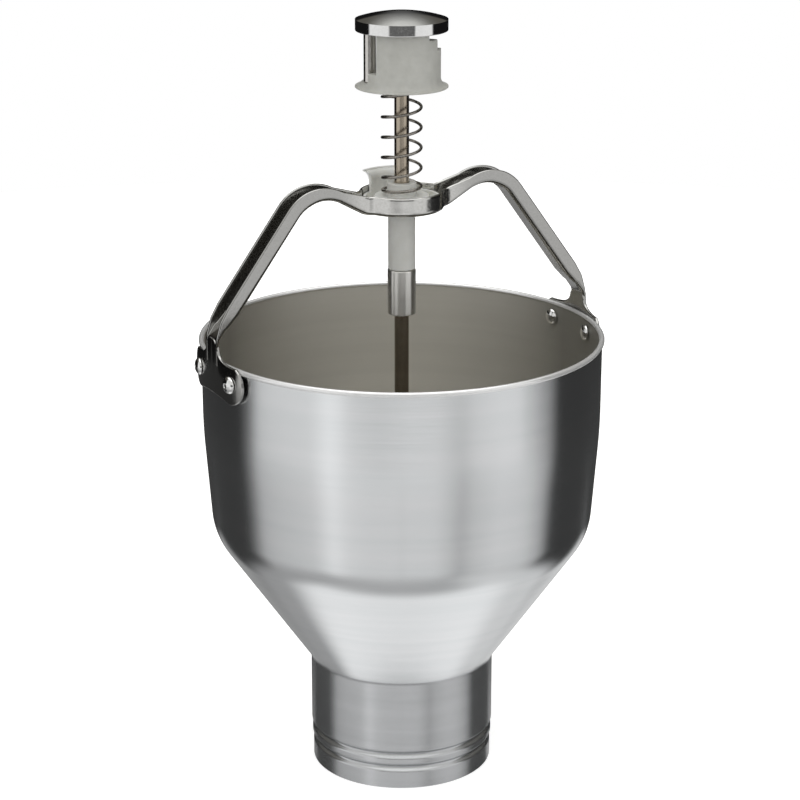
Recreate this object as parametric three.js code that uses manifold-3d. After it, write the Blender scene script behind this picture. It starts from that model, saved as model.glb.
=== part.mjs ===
// Batter dispenser: an open hopper with a plunger, a return spring and a portion dial under the button.
// Millimetres, +Z up. The bail lies along X. The origin is the middle of the outlet's foot.
import * as THREE from 'three';
import { mergeVertices } from 'three/addons/utils/BufferGeometryUtils.js';
import Module from 'manifold-3d';

const wasm = await Module();
wasm.setup();

// Gaps shared by the whole part
const seatGap = 0.3;
const runGap = 0.5;
const boreGap = 0.3;
const cutOverrun = 20;
const weldDistance = 1e-4;

// Hopper
const rimRadius = 110;
const rimHeight = 251;
const shellWall = 1.5;
const rimBeadRadius = 1.5;
const rimBeadReach = 1.2;
const wallBreakDrop = 51;
const wallBreakInset = 0.2;
const wallBreakBlend = 300;
const shoulderHeight = 141;
const shoulderInset = 4.7;
const shoulderBlend = 35;
const tubeRadius = 50.8;
const tubeHeight = 63.7;
const tubeBlend = 4;
const grooveWidth = 5.5;
const grooveDepth = 2;
const upperGrooveHeight = 20.5;
const lowerGrooveHeight = 12.5;
const landInset = 0.4;
const collarInset = 0.8;

// Outlet liner
const linerHeight = 60;
const linerFootHeight = 3;
const linerWall = 1.8;
const linerLeadIn = 2.5;

// Bail
const sheet = 1.6;
const bailHalfWidth = 7.25;
const armDepth = 8.2;
const hubDepth = 10.3;
const hubRise = 70;
const hubRadius = 23;
const hubFlareRadius = 8;
const valleyX = 23.9;
const valleyBlend = 6.6;
const peakBlend = 22;
const waistX = 38.9;
const waistDepth = 6.2;
const fullDepthX = 59;
const riseAngle = 22.4;
const armAngle = 53.7;
const armFootRise = 13.3;
const bracketSheet = 1.8;
const bracketTopHalfWidth = 9;
const knuckleReach = 2;
const knuckleRise = 11;
const rivetDrop = 9;
const rivetAngle = 10;
const lobeRadius = 11;
const scallopRise = 4;

// Rivets
const rivetShankRadius = 2.4;
const rivetHeadRadius = 4.75;
const rivetHeadHeight = 2.6;

// Guide bush
const bushTubeRadius = 7.4;
const bushTubeDrop = 33.3;
const bushSeatRadius = 14.85;
const bushSeatHeight = 5.7;
const bushBossRadius = 8;
const bushBossHeight = 6.3;
const bushBaseHeight = 1.8;
const guardRadius = 21;
const guardWall = 1.6;
const guardHeight = 16.6;
const guardLowHeight = 5.2;
const guardStart = 58;
const guardEnd = 121;

// Flared lip that the guard and the dial both have
const lipReach = 4.1;
const lipHeight = 5.5;
const lipEdge = 0.8;

// Plunger
const rodRadius = 3.97;
const rodFootHeight = 1.2;
const rodChamfer = 0.6;
const rodTopInsert = 3.2;
const collarRadius = 7.7;
const collarLength = 25.1;
const collarChamfer = 0.6;
const screwRadius = 1.9;
const screwAngle = 63;
const screwSocketRadius = 1.0;
const screwSocketDepth = 1.5;
const pistonThickness = 6;
const pistonRise = 13;
const pistonHubRadius = 12;
const pistonHubHeight = 3;
const pistonEdgeBlend = 1.5;
const discThickness = 5;
const discHeight = 7;
const sealThickness = 1.4;
const sealStandOut = 0.2;
const washerRadius = 11;
const washerThickness = 0.8;
const nutRadius = 7.33;
const nutHeight = 3.2;

// Portion dial, its sleeve and the button over them
const fullStroke = 47.9;
const dialRadius = 20.9;
const dialFloor = 3;
const stepRise = 6;
const dialTopRoom = 2.4;
const sleeveWall = 1.4;
const sleeveWeb = 1.8;
const sleeveFootRise = 1.2;
const postRadius = 3.3;
const postCentreRadius = 17.2;
const postAngle = 163;
const spigotRadius = 1.6;
const spigotLength = 2;
const buttonRadius = 24.8;
const buttonWall = 1.4;
const buttonSkirt = 5;
const buttonBand = 6;
const buttonDome = 3.9;

// Return spring
const wireRadius = 0.8;
const springRadius = 10.5;
const springPitch = 11;
const endPitch = 2.2;
const seatPitch = 4.2;
const springPhase = 15.5;

// Steps of the dial: where each starts, counted round the rod in degrees, and its height in step rises
const dialSteps = [
  { from: -27, to: 63, rises: 1 },
  { from: 184, to: 203, rises: 1 },
  { from: 203, to: 287, rises: 5 },
  { from: 287, to: 308, rises: 4 },
  { from: 308, to: 333, rises: 3 },
];

// Facet counts
const bodySides = 48;
const discSides = 40;
const smallSides = 32;
const rodSides = 24;
const rivetSides = 12;
const wireSides = 5;
const wireStepsPerTurn = 8;

const turned = (degrees) => THREE.MathUtils.degToRad(degrees);

// Places that follow from the sizes
const boreRadius = rodRadius + boreGap;
const tubeInnerRadius = tubeRadius - shellWall;
const linerBodyRadius = tubeInnerRadius - seatGap;
const linerStepHeight = upperGrooveHeight + grooveWidth / 2 + shellWall / 2 + seatGap;
const beadCentreRadius = rimRadius + rimBeadReach - rimBeadRadius;
const beadCentreHeight = rimHeight - rimBeadRadius;
const beadStart = -Math.acos((rimRadius - beadCentreRadius) / rimBeadRadius);
const beadEnd = 2 * Math.PI - Math.acos((rimRadius - shellWall - beadCentreRadius) / rimBeadRadius);
const hopperOutside = hopperOutline();
const hopperInside = shiftedPath(hopperOutside, () => -shellWall);
const linerFootRadius = Math.min(...hopperInside.map((point) => point.x)) - seatGap;
const linerBore = linerFootRadius - linerWall;
const bracketInner = rimRadius + rimBeadReach + seatGap;
const bracketOuter = bracketInner + bracketSheet;
const bracketMiddle = (bracketInner + bracketOuter) / 2;
const knuckleX = bracketOuter + knuckleReach;
const rivetHeight = rimHeight - rivetDrop;
const rivetAngles = [rivetAngle, -rivetAngle, 180 + rivetAngle, 180 - rivetAngle];
const hubUnderside = rimHeight + hubRise;
const hubFloor = hubUnderside + sheet;
const bailTopEdge = shiftedPath(bailLine(), bailHalfDepth);
const bailPeak = Math.max(...bailTopEdge.map((point) => point.y));
const bushBottom = hubUnderside - bushTubeDrop;
const bushBase = hubFloor + seatGap;
const bushSeat = bushBase + bushSeatHeight;
const guardTop = bushBase + guardHeight;
const collarTop = bushBottom - seatGap;
const collarMiddle = collarTop - collarLength / 2;
const dialBottom = guardTop + fullStroke;
const dialLow = dialBottom + dialFloor;
const dialTallRises = Math.max(...dialSteps.map((step) => step.rises));
const buttonRoof = dialLow + dialTallRises * stepRise + dialTopRoom;
const buttonBottom = buttonRoof - buttonSkirt;
const buttonShoulder = buttonBottom + buttonBand;
const sleeveInner = springRadius + wireRadius + runGap;
const sleeveOuter = sleeveInner + sleeveWall;
const sleeveTop = buttonRoof - seatGap;
const sleeveWebBottom = sleeveTop - sleeveWeb;
const dialBore = sleeveOuter + seatGap;
const pistonBottom = linerHeight + pistonRise;
const pistonTop = pistonBottom + pistonThickness;
const pistonRadius = linerBore - runGap;
const discRadius = linerBore - runGap;
const discTop = discHeight + discThickness;
const sealRadius = discRadius + sealStandOut;
const sealInner = sealRadius - 2 * sealThickness;
const sealMiddle = discHeight + discThickness / 2;
const rodTop = buttonRoof + rodTopInsert;

// Turn a closed three.js mesh into a solid: shared corners welded, slivers dropped, faces outward
function solidOf(geometry) {
  const shape = geometry.clone();
  shape.deleteAttribute('normal');
  shape.deleteAttribute('uv');
  const welded = mergeVertices(shape, weldDistance);
  const corners = welded.index.array;
  const triangles = [];
  for (let i = 0; i < corners.length; i += 3) {
    const [a, b, c] = [corners[i], corners[i + 1], corners[i + 2]];
    if (a !== b && b !== c && c !== a) triangles.push(a, b, c);
  }
  const places = welded.attributes.position;
  if (signedVolume(places, triangles) < 0) triangles.reverse();
  const mesh = new wasm.Mesh({
    numProp: 3,
    vertProperties: new Float32Array(places.array),
    triVerts: new Uint32Array(triangles),
  });
  return new wasm.Manifold(mesh);
}

function signedVolume(places, triangles) {
  const [a, b, c] = [new THREE.Vector3(), new THREE.Vector3(), new THREE.Vector3()];
  let total = 0;
  for (let i = 0; i < triangles.length; i += 3) {
    a.fromBufferAttribute(places, triangles[i]);
    b.fromBufferAttribute(places, triangles[i + 1]);
    c.fromBufferAttribute(places, triangles[i + 2]);
    total += a.dot(b.cross(c));
  }
  return total;
}

function geometryOf(solid) {
  const mesh = solid.getMesh();
  const geometry = new THREE.BufferGeometry();
  geometry.setAttribute('position', new THREE.BufferAttribute(new Float32Array(mesh.vertProperties), 3));
  geometry.setIndex(new THREE.BufferAttribute(new Uint32Array(mesh.triVerts), 1));
  geometry.computeVertexNormals();
  return geometry;
}

// A profile of [radius, height] points turned round the Z axis
function turnedSolid(profile, sides) {
  const outline = profile.map(([radius, height]) => new THREE.Vector2(radius, height));
  outline.push(outline[0].clone());
  return solidOf(new THREE.LatheGeometry(outline, sides).rotateX(Math.PI / 2));
}

const tubeSolid = (inner, outer, bottom, top, sides) => turnedSolid([
  [inner, bottom],
  [outer, bottom],
  [outer, top],
  [inner, top],
], sides);

const rodSolid = (radius, bottom, top, sides) => turnedSolid([
  [0, bottom],
  [radius, bottom],
  [radius, top],
  [0, top],
], sides);

// A rod lying along X, then swung round the Z axis
function radialRod(radius, from, to, height, angle, sides) {
  const rod = new THREE.CylinderGeometry(radius, radius, to - from, sides);
  rod.rotateZ(Math.PI / 2);
  rod.translate((from + to) / 2, 0, height);
  rod.rotateZ(turned(angle));
  return solidOf(rod);
}

// An outline in the XZ plane, given width in Y and centred on it
function slabAlongY(points, width) {
  const shape = new THREE.Shape(points);
  const slab = new THREE.ExtrudeGeometry(shape, { depth: width, bevelEnabled: false });
  slab.rotateX(Math.PI / 2);
  slab.translate(0, width / 2, 0);
  return solidOf(slab);
}

// A shape in the XY plane, standing from one height to another
function slabAlongZ(shape, bottom, top, curveSegments) {
  const depth = top - bottom;
  const slab = new THREE.ExtrudeGeometry(shape, { depth, bevelEnabled: false, curveSegments });
  slab.translate(0, 0, bottom);
  return solidOf(slab);
}

function sectorShape(inner, outer, from, to) {
  const shape = new THREE.Shape();
  shape.absarc(0, 0, outer, turned(from), turned(to), false);
  shape.absarc(0, 0, inner, turned(to), turned(from), true);
  return shape;
}

// Round the inner corners of a path; each corner is {x, y, blend}. A blend is no longer than its runs allow
function blendedPath(corners, steps) {
  const places = corners.map(({ x, y }) => new THREE.Vector2(x, y));
  const run = (from, to) => places[to].clone().sub(places[from]);
  const halfAngle = (i) => run(i, i - 1).angleTo(run(i, i + 1)) / 2;
  const reaches = corners.map(({ blend }, i) => (blend ? blend / Math.tan(halfAngle(i)) : 0));
  const room = (i, k) => run(i, k).length() / (reaches[i] + reaches[k]);
  const path = [];
  corners.forEach(({ blend }, i) => {
    const here = places[i];
    if (!blend) {
      path.push(here);
      return;
    }
    const fit = Math.min(1, room(i, i - 1), room(i, i + 1));
    const back = run(i, i - 1).normalize();
    const ahead = run(i, i + 1).normalize();
    const inward = back.clone().add(ahead).normalize();
    const centre = here.clone().addScaledVector(inward, (fit * blend) / Math.sin(halfAngle(i)));
    const start = here.clone().addScaledVector(back, fit * reaches[i]).sub(centre);
    const end = here.clone().addScaledVector(ahead, fit * reaches[i]).sub(centre);
    const sweep = Math.atan2(start.cross(end), start.dot(end));
    for (let k = 0; k <= steps; k += 1) {
      path.push(start.clone().rotateAround(new THREE.Vector2(), (sweep * k) / steps).add(centre));
    }
  });
  return path;
}

// Shift an open path to its left by a distance that may change along it
function shiftedPath(path, distanceAt) {
  const last = path.length - 1;
  const run = (k) => path[k + 1].clone().sub(path[k]).normalize();
  return path.map((point, i) => {
    const incoming = run(Math.max(i - 1, 0));
    const outgoing = run(Math.min(i, last - 1));
    const left = new THREE.Vector2(-incoming.y, incoming.x);
    const bisector = left.clone().add(new THREE.Vector2(-outgoing.y, outgoing.x)).normalize();
    return point.clone().addScaledVector(bisector, distanceAt(point) / bisector.dot(left));
  });
}

const finishes = {
  spunAluminium: { color: 0xc3c6c9, roughness: 0.32, metalness: 1 },
  chrome: { color: 0xd8d8d6, roughness: 0.1, metalness: 1 },
  polishedSteel: { color: 0xa9a59f, roughness: 0.2, metalness: 1 },
  springSteel: { color: 0x8f8a82, roughness: 0.3, metalness: 1 },
  greyNylon: { color: 0xa5a69e, roughness: 0.5, metalness: 0 },
  whiteNylon: { color: 0xd9d9d2, roughness: 0.45, metalness: 0 },
  blackRubber: { color: 0x2a2a2a, roughness: 0.8, metalness: 0 },
};

function piece(name, solid, finish) {
  const mesh = new THREE.Mesh(geometryOf(solid), new THREE.MeshStandardMaterial(finishes[finish]));
  mesh.name = name;
  return mesh;
}

// One rolled groove of the outlet tube, from its upper edge down to its lower edge
function groovePoints(centre, upperRadius, lowerRadius) {
  const steps = 4;
  const points = [];
  for (let k = 0; k <= steps; k += 1) {
    const share = k / steps;
    const straight = THREE.MathUtils.lerp(upperRadius, lowerRadius, share);
    const sink = grooveDepth * (1 - Math.cos(2 * Math.PI * share)) / 2;
    points.push({ x: straight - sink, y: centre + grooveWidth * (0.5 - share) });
  }
  return points;
}

// The outside of the spun shell, from under the rim bead down to the foot, as x radius and y height
function hopperOutline() {
  const landRadius = tubeRadius - landInset;
  const footRadius = tubeRadius - collarInset;
  return blendedPath([
    { x: rimRadius, y: beadCentreHeight + rimBeadRadius * Math.sin(beadStart) },
    { x: rimRadius - wallBreakInset, y: rimHeight - wallBreakDrop, blend: wallBreakBlend },
    { x: rimRadius - shoulderInset, y: shoulderHeight, blend: shoulderBlend },
    { x: tubeRadius, y: tubeHeight, blend: tubeBlend },
    ...groovePoints(upperGrooveHeight, tubeRadius, landRadius),
    ...groovePoints(lowerGrooveHeight, landRadius, footRadius),
    { x: footRadius, y: 0 },
  ], 3);
}

function hopperShell() {
  const bead = [];
  const beadSteps = 5;
  for (let k = 1; k < beadSteps; k += 1) {
    const angle = THREE.MathUtils.lerp(beadStart, beadEnd, k / beadSteps);
    bead.push([
      beadCentreRadius + rimBeadRadius * Math.cos(angle),
      beadCentreHeight + rimBeadRadius * Math.sin(angle),
    ]);
  }
  const profile = [
    ...hopperOutside.map((point) => [point.x, point.y]).reverse(),
    ...bead,
    ...hopperInside.map((point) => [point.x, point.y]),
  ];
  let shell = turnedSolid(profile, bodySides);
  for (const angle of rivetAngles) {
    shell = shell.subtract(radialRod(rivetShankRadius + boreGap, rimRadius - cutOverrun,
      rimRadius + cutOverrun, rivetHeight, angle, rivetSides));
  }
  return piece('hopper_shell', shell, 'spunAluminium');
}

function outletLiner() {
  const liner = turnedSolid([
    [linerBore, linerFootHeight],
    [linerFootRadius, linerFootHeight],
    [linerFootRadius, linerStepHeight],
    [linerBodyRadius, linerStepHeight],
    [linerBodyRadius, linerHeight],
    [linerBore + linerLeadIn, linerHeight],
    [linerBore, linerHeight - linerLeadIn],
  ], bodySides);
  return piece('outlet_liner', liner, 'whiteNylon');
}

// The bail's middle line on the +X side, from the hub to the foot of the arm
function bailLine() {
  const hubMiddle = hubUnderside + hubDepth / 2;
  const footHeight = rimHeight + armFootRise;
  const rise = Math.tan(turned(riseAngle));
  const fall = Math.tan(turned(armAngle));
  const peakX = (footHeight + fall * bracketMiddle - hubMiddle + rise * valleyX) / (rise + fall);
  const peakHeight = hubMiddle + rise * (peakX - valleyX);
  return blendedPath([
    { x: 0, y: hubMiddle },
    { x: valleyX, y: hubMiddle, blend: valleyBlend },
    { x: peakX, y: peakHeight, blend: peakBlend },
    { x: bracketMiddle, y: footHeight },
  ], 5);
}

// Where a straight run through two points reaches a given x
function heightAt(path, x) {
  const last = path[path.length - 1];
  const previous = path[path.length - 2];
  return last.y + ((last.y - previous.y) / (last.x - previous.x)) * (x - last.x);
}

// Half of the channel's depth at a point of its middle line: it narrows to a waist beside the hub
function bailHalfDepth(point) {
  const fall = THREE.MathUtils.clamp((point.x - hubRadius) / (waistX - hubRadius), 0, 1);
  const growth = THREE.MathUtils.clamp((point.x - waistX) / (fullDepthX - waistX), 0, 1);
  const depth = THREE.MathUtils.lerp(hubDepth, waistDepth, fall);
  return THREE.MathUtils.lerp(depth, armDepth, growth) / 2;
}

// An outline from the middle round the right end and back to the middle, joined to its mirror image
function mirroredOutline(right) {
  const left = right.slice(1, -1).reverse().map((point) => new THREE.Vector2(-point.x, point.y));
  return [...right, ...left];
}

// The pressed channel seen from the side
function bailSide() {
  const bottom = shiftedPath(bailLine(), (point) => -bailHalfDepth(point));
  return mirroredOutline([
    ...bottom.filter((point) => point.x < bracketInner),
    new THREE.Vector2(bracketInner, heightAt(bottom, bracketInner)),
    new THREE.Vector2(knuckleX, rimHeight + knuckleRise),
    new THREE.Vector2(knuckleX, heightAt(bailTopEdge, knuckleX)),
    ...bailTopEdge.filter((point) => point.x < knuckleX).reverse(),
  ]);
}

// What is cut out of the channel, seen from the side: all that lies over its web and beyond its ends
function bailHollow() {
  const web = shiftedPath(bailLine(), (point) => sheet - bailHalfDepth(point));
  const low = heightAt(web, bracketOuter) - cutOverrun;
  const high = bailPeak + cutOverrun;
  return mirroredOutline([
    ...web.filter((point) => point.x < bracketOuter),
    new THREE.Vector2(bracketOuter, heightAt(web, bracketOuter)),
    new THREE.Vector2(bracketOuter, low),
    new THREE.Vector2(knuckleX + cutOverrun, low),
    new THREE.Vector2(knuckleX + cutOverrun, high),
    new THREE.Vector2(0, high),
  ]);
}

// The pressed channel seen from above: a round hub with flared corners and two straight arms
function bailPlan(inset) {
  const radius = hubRadius - inset;
  const half = bailHalfWidth - inset;
  const flare = hubFlareRadius + inset;
  const centreX = Math.sqrt((radius + flare) ** 2 - (half + flare) ** 2);
  const flareAngle = Math.atan2(half + flare, centreX);
  const end = knuckleX + cutOverrun;
  const shape = new THREE.Shape();
  for (const side of [0, Math.PI]) {
    const sign = side ? -1 : 1;
    const [x, y] = [sign * centreX, sign * (half + flare)];
    shape.absarc(x, -y, flare, side + Math.PI - flareAngle, side + Math.PI / 2, true);
    shape.lineTo(sign * end, -sign * half);
    shape.lineTo(sign * end, sign * half);
    shape.absarc(x, y, flare, side - Math.PI / 2, side + Math.PI + flareAngle, true);
    shape.absarc(0, 0, radius, side + flareAngle, side + Math.PI - flareAngle, false);
  }
  return shape;
}

// The curved plate at one end of the bail, cut to its outline from a ring
function bracketPlate() {
  const lobeY = bracketMiddle * Math.sin(turned(rivetAngle));
  const top = heightAt(bailLine(), bracketInner);
  const lobeTop = Math.PI / 3;
  const lobeBottom = -Math.PI * 0.6;
  const shape = new THREE.Shape();
  shape.moveTo(-bracketTopHalfWidth, top);
  shape.lineTo(bracketTopHalfWidth, top);
  shape.quadraticCurveTo(
    bracketTopHalfWidth,
    rimHeight,
    lobeY + lobeRadius * Math.cos(lobeTop),
    rivetHeight + lobeRadius * Math.sin(lobeTop),
  );
  shape.absarc(lobeY, rivetHeight, lobeRadius, lobeTop, lobeBottom, true);
  shape.quadraticCurveTo(
    0,
    rivetHeight - lobeRadius + scallopRise,
    -lobeY - lobeRadius * Math.cos(lobeBottom),
    rivetHeight + lobeRadius * Math.sin(lobeBottom),
  );
  shape.absarc(-lobeY, rivetHeight, lobeRadius, Math.PI - lobeBottom, Math.PI - lobeTop, true);
  shape.quadraticCurveTo(-bracketTopHalfWidth, rimHeight, -bracketTopHalfWidth, top);
  const depth = 2 * cutOverrun;
  const slab = new THREE.ExtrudeGeometry(shape, { depth, bevelEnabled: false, curveSegments: 7 });
  const alongX = new THREE.Matrix4().makeBasis(
    new THREE.Vector3(0, 1, 0),
    new THREE.Vector3(0, 0, 1),
    new THREE.Vector3(1, 0, 0),
  );
  slab.applyMatrix4(alongX);
  slab.translate(bracketMiddle - cutOverrun, 0, 0);
  const ring = tubeSolid(bracketInner, bracketOuter, rivetHeight - cutOverrun, top + cutOverrun, bodySides);
  return ring.intersect(solidOf(slab));
}

function bailHandle() {
  const low = rivetHeight - cutOverrun;
  const high = bailPeak + cutOverrun;
  const whole = slabAlongY(bailSide(), 2 * hubRadius)
    .intersect(slabAlongZ(bailPlan(0), low, high, 12));
  const hollow = slabAlongY(bailHollow(), 2 * hubRadius)
    .intersect(slabAlongZ(bailPlan(sheet), low - cutOverrun, high + cutOverrun, 12));
  const plate = bracketPlate();
  let bail = whole.subtract(hollow).add(plate).add(plate.rotate([0, 0, 180]));
  bail = bail.subtract(rodSolid(bushTubeRadius + boreGap, low, high, smallSides));
  for (const angle of rivetAngles) {
    bail = bail.subtract(radialRod(rivetShankRadius + boreGap, rimRadius - cutOverrun,
      rimRadius + cutOverrun, rivetHeight, angle, rivetSides));
  }
  return piece('bail_handle', bail, 'chrome');
}

// A round-headed rivet lying along its own Z axis, with its inner head at the low end
function rivetSolid() {
  const flatRadius = (rimRadius - shellWall - wallBreakInset) * Math.cos(Math.PI / bodySides);
  const innerFace = Math.sqrt(flatRadius ** 2 - rivetHeadRadius ** 2) - seatGap;
  const outerFace = bracketOuter + seatGap;
  const dome = [];
  const domeSteps = 2;
  for (let k = 0; k <= domeSteps; k += 1) {
    const angle = (Math.PI / 2) * (k / domeSteps);
    dome.push([rivetHeadRadius * Math.cos(angle), rivetHeadHeight * Math.sin(angle)]);
  }
  return turnedSolid([
    ...dome.map(([radius, height]) => [radius, innerFace - height]).reverse(),
    [rivetShankRadius, innerFace],
    [rivetShankRadius, outerFace],
    ...dome.map(([radius, height]) => [radius, outerFace + height]),
  ], rivetSides);
}

function rivets() {
  const names = ['rivet_right_rear', 'rivet_right_front', 'rivet_left_front', 'rivet_left_rear'];
  return rivetAngles.map((angle, i) => {
    const rivet = piece(names[i], rivetSolid(), 'chrome');
    rivet.rotation.set(0, Math.PI / 2, turned(angle), 'ZYX');
    rivet.position.z = rivetHeight;
    return rivet;
  });
}

// Outside of a flared lip: from the straight wall out to the edge, as [radius, rise above the edge]
function lipPoints(radius) {
  const points = [];
  const steps = 4;
  for (let k = 0; k <= steps; k += 1) {
    const angle = (Math.PI / 2) * (k / steps);
    points.push([
      radius + lipReach * (1 - Math.cos(angle)),
      lipEdge + (lipHeight - lipEdge) * (1 - Math.sin(angle)),
    ]);
  }
  return points;
}

function guideBush() {
  const stem = turnedSolid([
    [boreRadius, bushBottom],
    [bushTubeRadius, bushBottom],
    [bushTubeRadius, bushBase],
    [guardRadius, bushBase],
    [guardRadius, bushBase + guardLowHeight],
    [guardRadius - guardWall, bushBase + guardLowHeight],
    [guardRadius - guardWall, bushBase + bushBaseHeight],
    [bushSeatRadius, bushBase + bushBaseHeight],
    [bushSeatRadius, bushSeat],
    [bushBossRadius, bushSeat],
    [bushBossRadius, bushSeat + bushBossHeight],
    [boreRadius, bushSeat + bushBossHeight],
  ], smallSides);
  const outside = lipPoints(guardRadius).map(([radius, rise]) => [radius, guardTop - rise]);
  const inside = outside.map(([radius, height]) => [radius - guardWall, height]);
  const ring = turnedSolid([
    [guardRadius - guardWall, bushBase],
    [guardRadius, bushBase],
    ...outside,
    [guardRadius + lipReach, guardTop],
    [guardRadius + lipReach - guardWall, guardTop],
    ...inside.reverse(),
  ], bodySides);
  const wedge = slabAlongZ(
    sectorShape(bushSeatRadius, guardRadius + cutOverrun, guardStart, guardEnd),
    bushBase - cutOverrun,
    guardTop + cutOverrun,
    smallSides,
  );
  return piece('guide_bush', stem.add(ring.intersect(wedge)), 'greyNylon');
}

// An open coil spring as one unbroken tube, with a closer turn and a short straight end at both ends
function returnSpring() {
  const bottom = bushSeat + seatGap + wireRadius;
  const top = sleeveWebBottom - seatGap - wireRadius;
  const openTurns = (top - bottom - seatPitch - endPitch) / springPitch;
  const turns = openTurns + 2;
  const heightAtTurn = (turn) => {
    const lower = Math.min(turn, 1) * seatPitch;
    const open = THREE.MathUtils.clamp(turn - 1, 0, openTurns) * springPitch;
    const upper = Math.max(turn - 1 - openTurns, 0) * endPitch;
    return bottom + lower + open + upper;
  };
  const centres = [];
  const steps = Math.round(turns * wireStepsPerTurn);
  for (let k = 0; k <= steps; k += 1) {
    const turn = (turns * k) / steps;
    const angle = turned(springPhase) + 2 * Math.PI * turn;
    centres.push(new THREE.Vector3(
      springRadius * Math.cos(angle),
      springRadius * Math.sin(angle),
      heightAtTurn(turn),
    ));
  }
  const along = (from, to) => to.clone().sub(from).setZ(0).setLength(2 * wireRadius);
  centres.unshift(centres[0].clone().sub(along(centres[0], centres[1])));
  const last = centres[centres.length - 1];
  centres.push(last.clone().add(along(centres[centres.length - 2], last)));
  console.log('return_spring least gap to itself, mm:', leastGap(centres).toFixed(2));
  return piece('return_spring', solidOf(wireGeometry(centres)), 'springSteel');
}

// Least distance between stretches of the wire that lie more than half a turn apart, less the wire
function leastGap(centres) {
  let least = Infinity;
  for (let i = 0; i < centres.length; i += 1) {
    for (let k = i + wireStepsPerTurn / 2; k < centres.length; k += 1) {
      least = Math.min(least, centres[i].distanceTo(centres[k]));
    }
  }
  return least - 2 * wireRadius;
}

// Rings of corners round the centre line, joined into one tube with closed ends
function wireGeometry(centres) {
  const places = [];
  centres.forEach((centre, i) => {
    const before = centres[Math.max(i - 1, 0)];
    const after = centres[Math.min(i + 1, centres.length - 1)];
    const forward = after.clone().sub(before).normalize();
    const outward = new THREE.Vector3(centre.x, centre.y, 0).normalize();
    const side = new THREE.Vector3().crossVectors(forward, outward).normalize();
    const out = new THREE.Vector3().crossVectors(side, forward);
    for (let k = 0; k < wireSides; k += 1) {
      const angle = (2 * Math.PI * k) / wireSides;
      const corner = centre.clone();
      corner.addScaledVector(out, wireRadius * Math.cos(angle));
      corner.addScaledVector(side, wireRadius * Math.sin(angle));
      places.push(corner.x, corner.y, corner.z);
    }
  });
  const index = [];
  const lastRing = (centres.length - 1) * wireSides;
  for (let ring = 0; ring < lastRing; ring += wireSides) {
    for (let k = 0; k < wireSides; k += 1) {
      const next = (k + 1) % wireSides;
      index.push(ring + k, ring + wireSides + k, ring + next);
      index.push(ring + next, ring + wireSides + k, ring + wireSides + next);
    }
  }
  for (let k = 1; k < wireSides - 1; k += 1) {
    index.push(0, k, k + 1);
    index.push(lastRing, lastRing + k + 1, lastRing + k);
  }
  const geometry = new THREE.BufferGeometry();
  geometry.setAttribute('position', new THREE.Float32BufferAttribute(places, 3));
  geometry.setIndex(index);
  return geometry;
}

function plungerRod() {
  const rod = turnedSolid([
    [0, rodFootHeight],
    [rodRadius - rodChamfer, rodFootHeight],
    [rodRadius, rodFootHeight + rodChamfer],
    [rodRadius, rodTop - rodChamfer],
    [rodRadius - rodChamfer, rodTop],
    [0, rodTop],
  ], rodSides);
  return piece('plunger_rod', rod, 'polishedSteel');
}

function stopCollar() {
  const bottom = collarTop - collarLength;
  const ring = turnedSolid([
    [boreRadius, bottom],
    [collarRadius - collarChamfer, bottom],
    [collarRadius, bottom + collarChamfer],
    [collarRadius, collarTop - collarChamfer],
    [collarRadius - collarChamfer, collarTop],
    [boreRadius, collarTop],
  ], smallSides);
  const reach = collarRadius + cutOverrun;
  const tapped = radialRod(screwRadius + boreGap, 0, reach, collarMiddle, screwAngle, rivetSides);
  return piece('stop_collar', ring.subtract(tapped), 'polishedSteel');
}

function collarScrew() {
  const tip = rodRadius + seatGap;
  const head = collarRadius - seatGap;
  const body = rodSolid(screwRadius, tip, head, rivetSides);
  const socket = rodSolid(screwSocketRadius, head - screwSocketDepth, head + cutOverrun, 6);
  const screw = piece('collar_screw', body.subtract(socket), 'polishedSteel');
  screw.rotation.set(0, Math.PI / 2, turned(screwAngle), 'ZYX');
  screw.position.z = collarMiddle;
  return screw;
}

function upperPiston() {
  const hubTop = pistonTop + pistonHubHeight;
  const piston = turnedSolid([
    [boreRadius, pistonBottom],
    [pistonRadius - pistonEdgeBlend, pistonBottom],
    [pistonRadius, pistonBottom + pistonEdgeBlend],
    [pistonRadius, pistonTop - pistonEdgeBlend],
    [pistonRadius - pistonEdgeBlend, pistonTop],
    [pistonHubRadius, pistonTop],
    [pistonHubRadius - pistonHubHeight, hubTop],
    [boreRadius, hubTop],
  ], discSides);
  return piece('upper_piston', piston, 'whiteNylon');
}

function cutoffDisc() {
  const grooveInner = sealInner - seatGap;
  const grooveHalf = sealThickness + seatGap;
  const disc = turnedSolid([
    [boreRadius, discHeight],
    [discRadius, discHeight],
    [discRadius, sealMiddle - grooveHalf],
    [grooveInner, sealMiddle - grooveHalf],
    [grooveInner, sealMiddle + grooveHalf],
    [discRadius, sealMiddle + grooveHalf],
    [discRadius, discTop],
    [boreRadius, discTop],
  ], discSides);
  return piece('cutoff_disc', disc, 'whiteNylon');
}

function discSeal() {
  const section = [];
  const sides = 6;
  for (let k = 0; k < sides; k += 1) {
    const angle = (2 * Math.PI * k) / sides;
    section.push([
      sealRadius - sealThickness + sealThickness * Math.cos(angle),
      sealMiddle + sealThickness * Math.sin(angle),
    ]);
  }
  return piece('disc_seal', turnedSolid(section, discSides), 'blackRubber');
}

function washer(name, top) {
  const ring = tubeSolid(boreRadius, washerRadius, top - washerThickness, top, rodSides);
  return piece(name, ring, 'polishedSteel');
}

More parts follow.
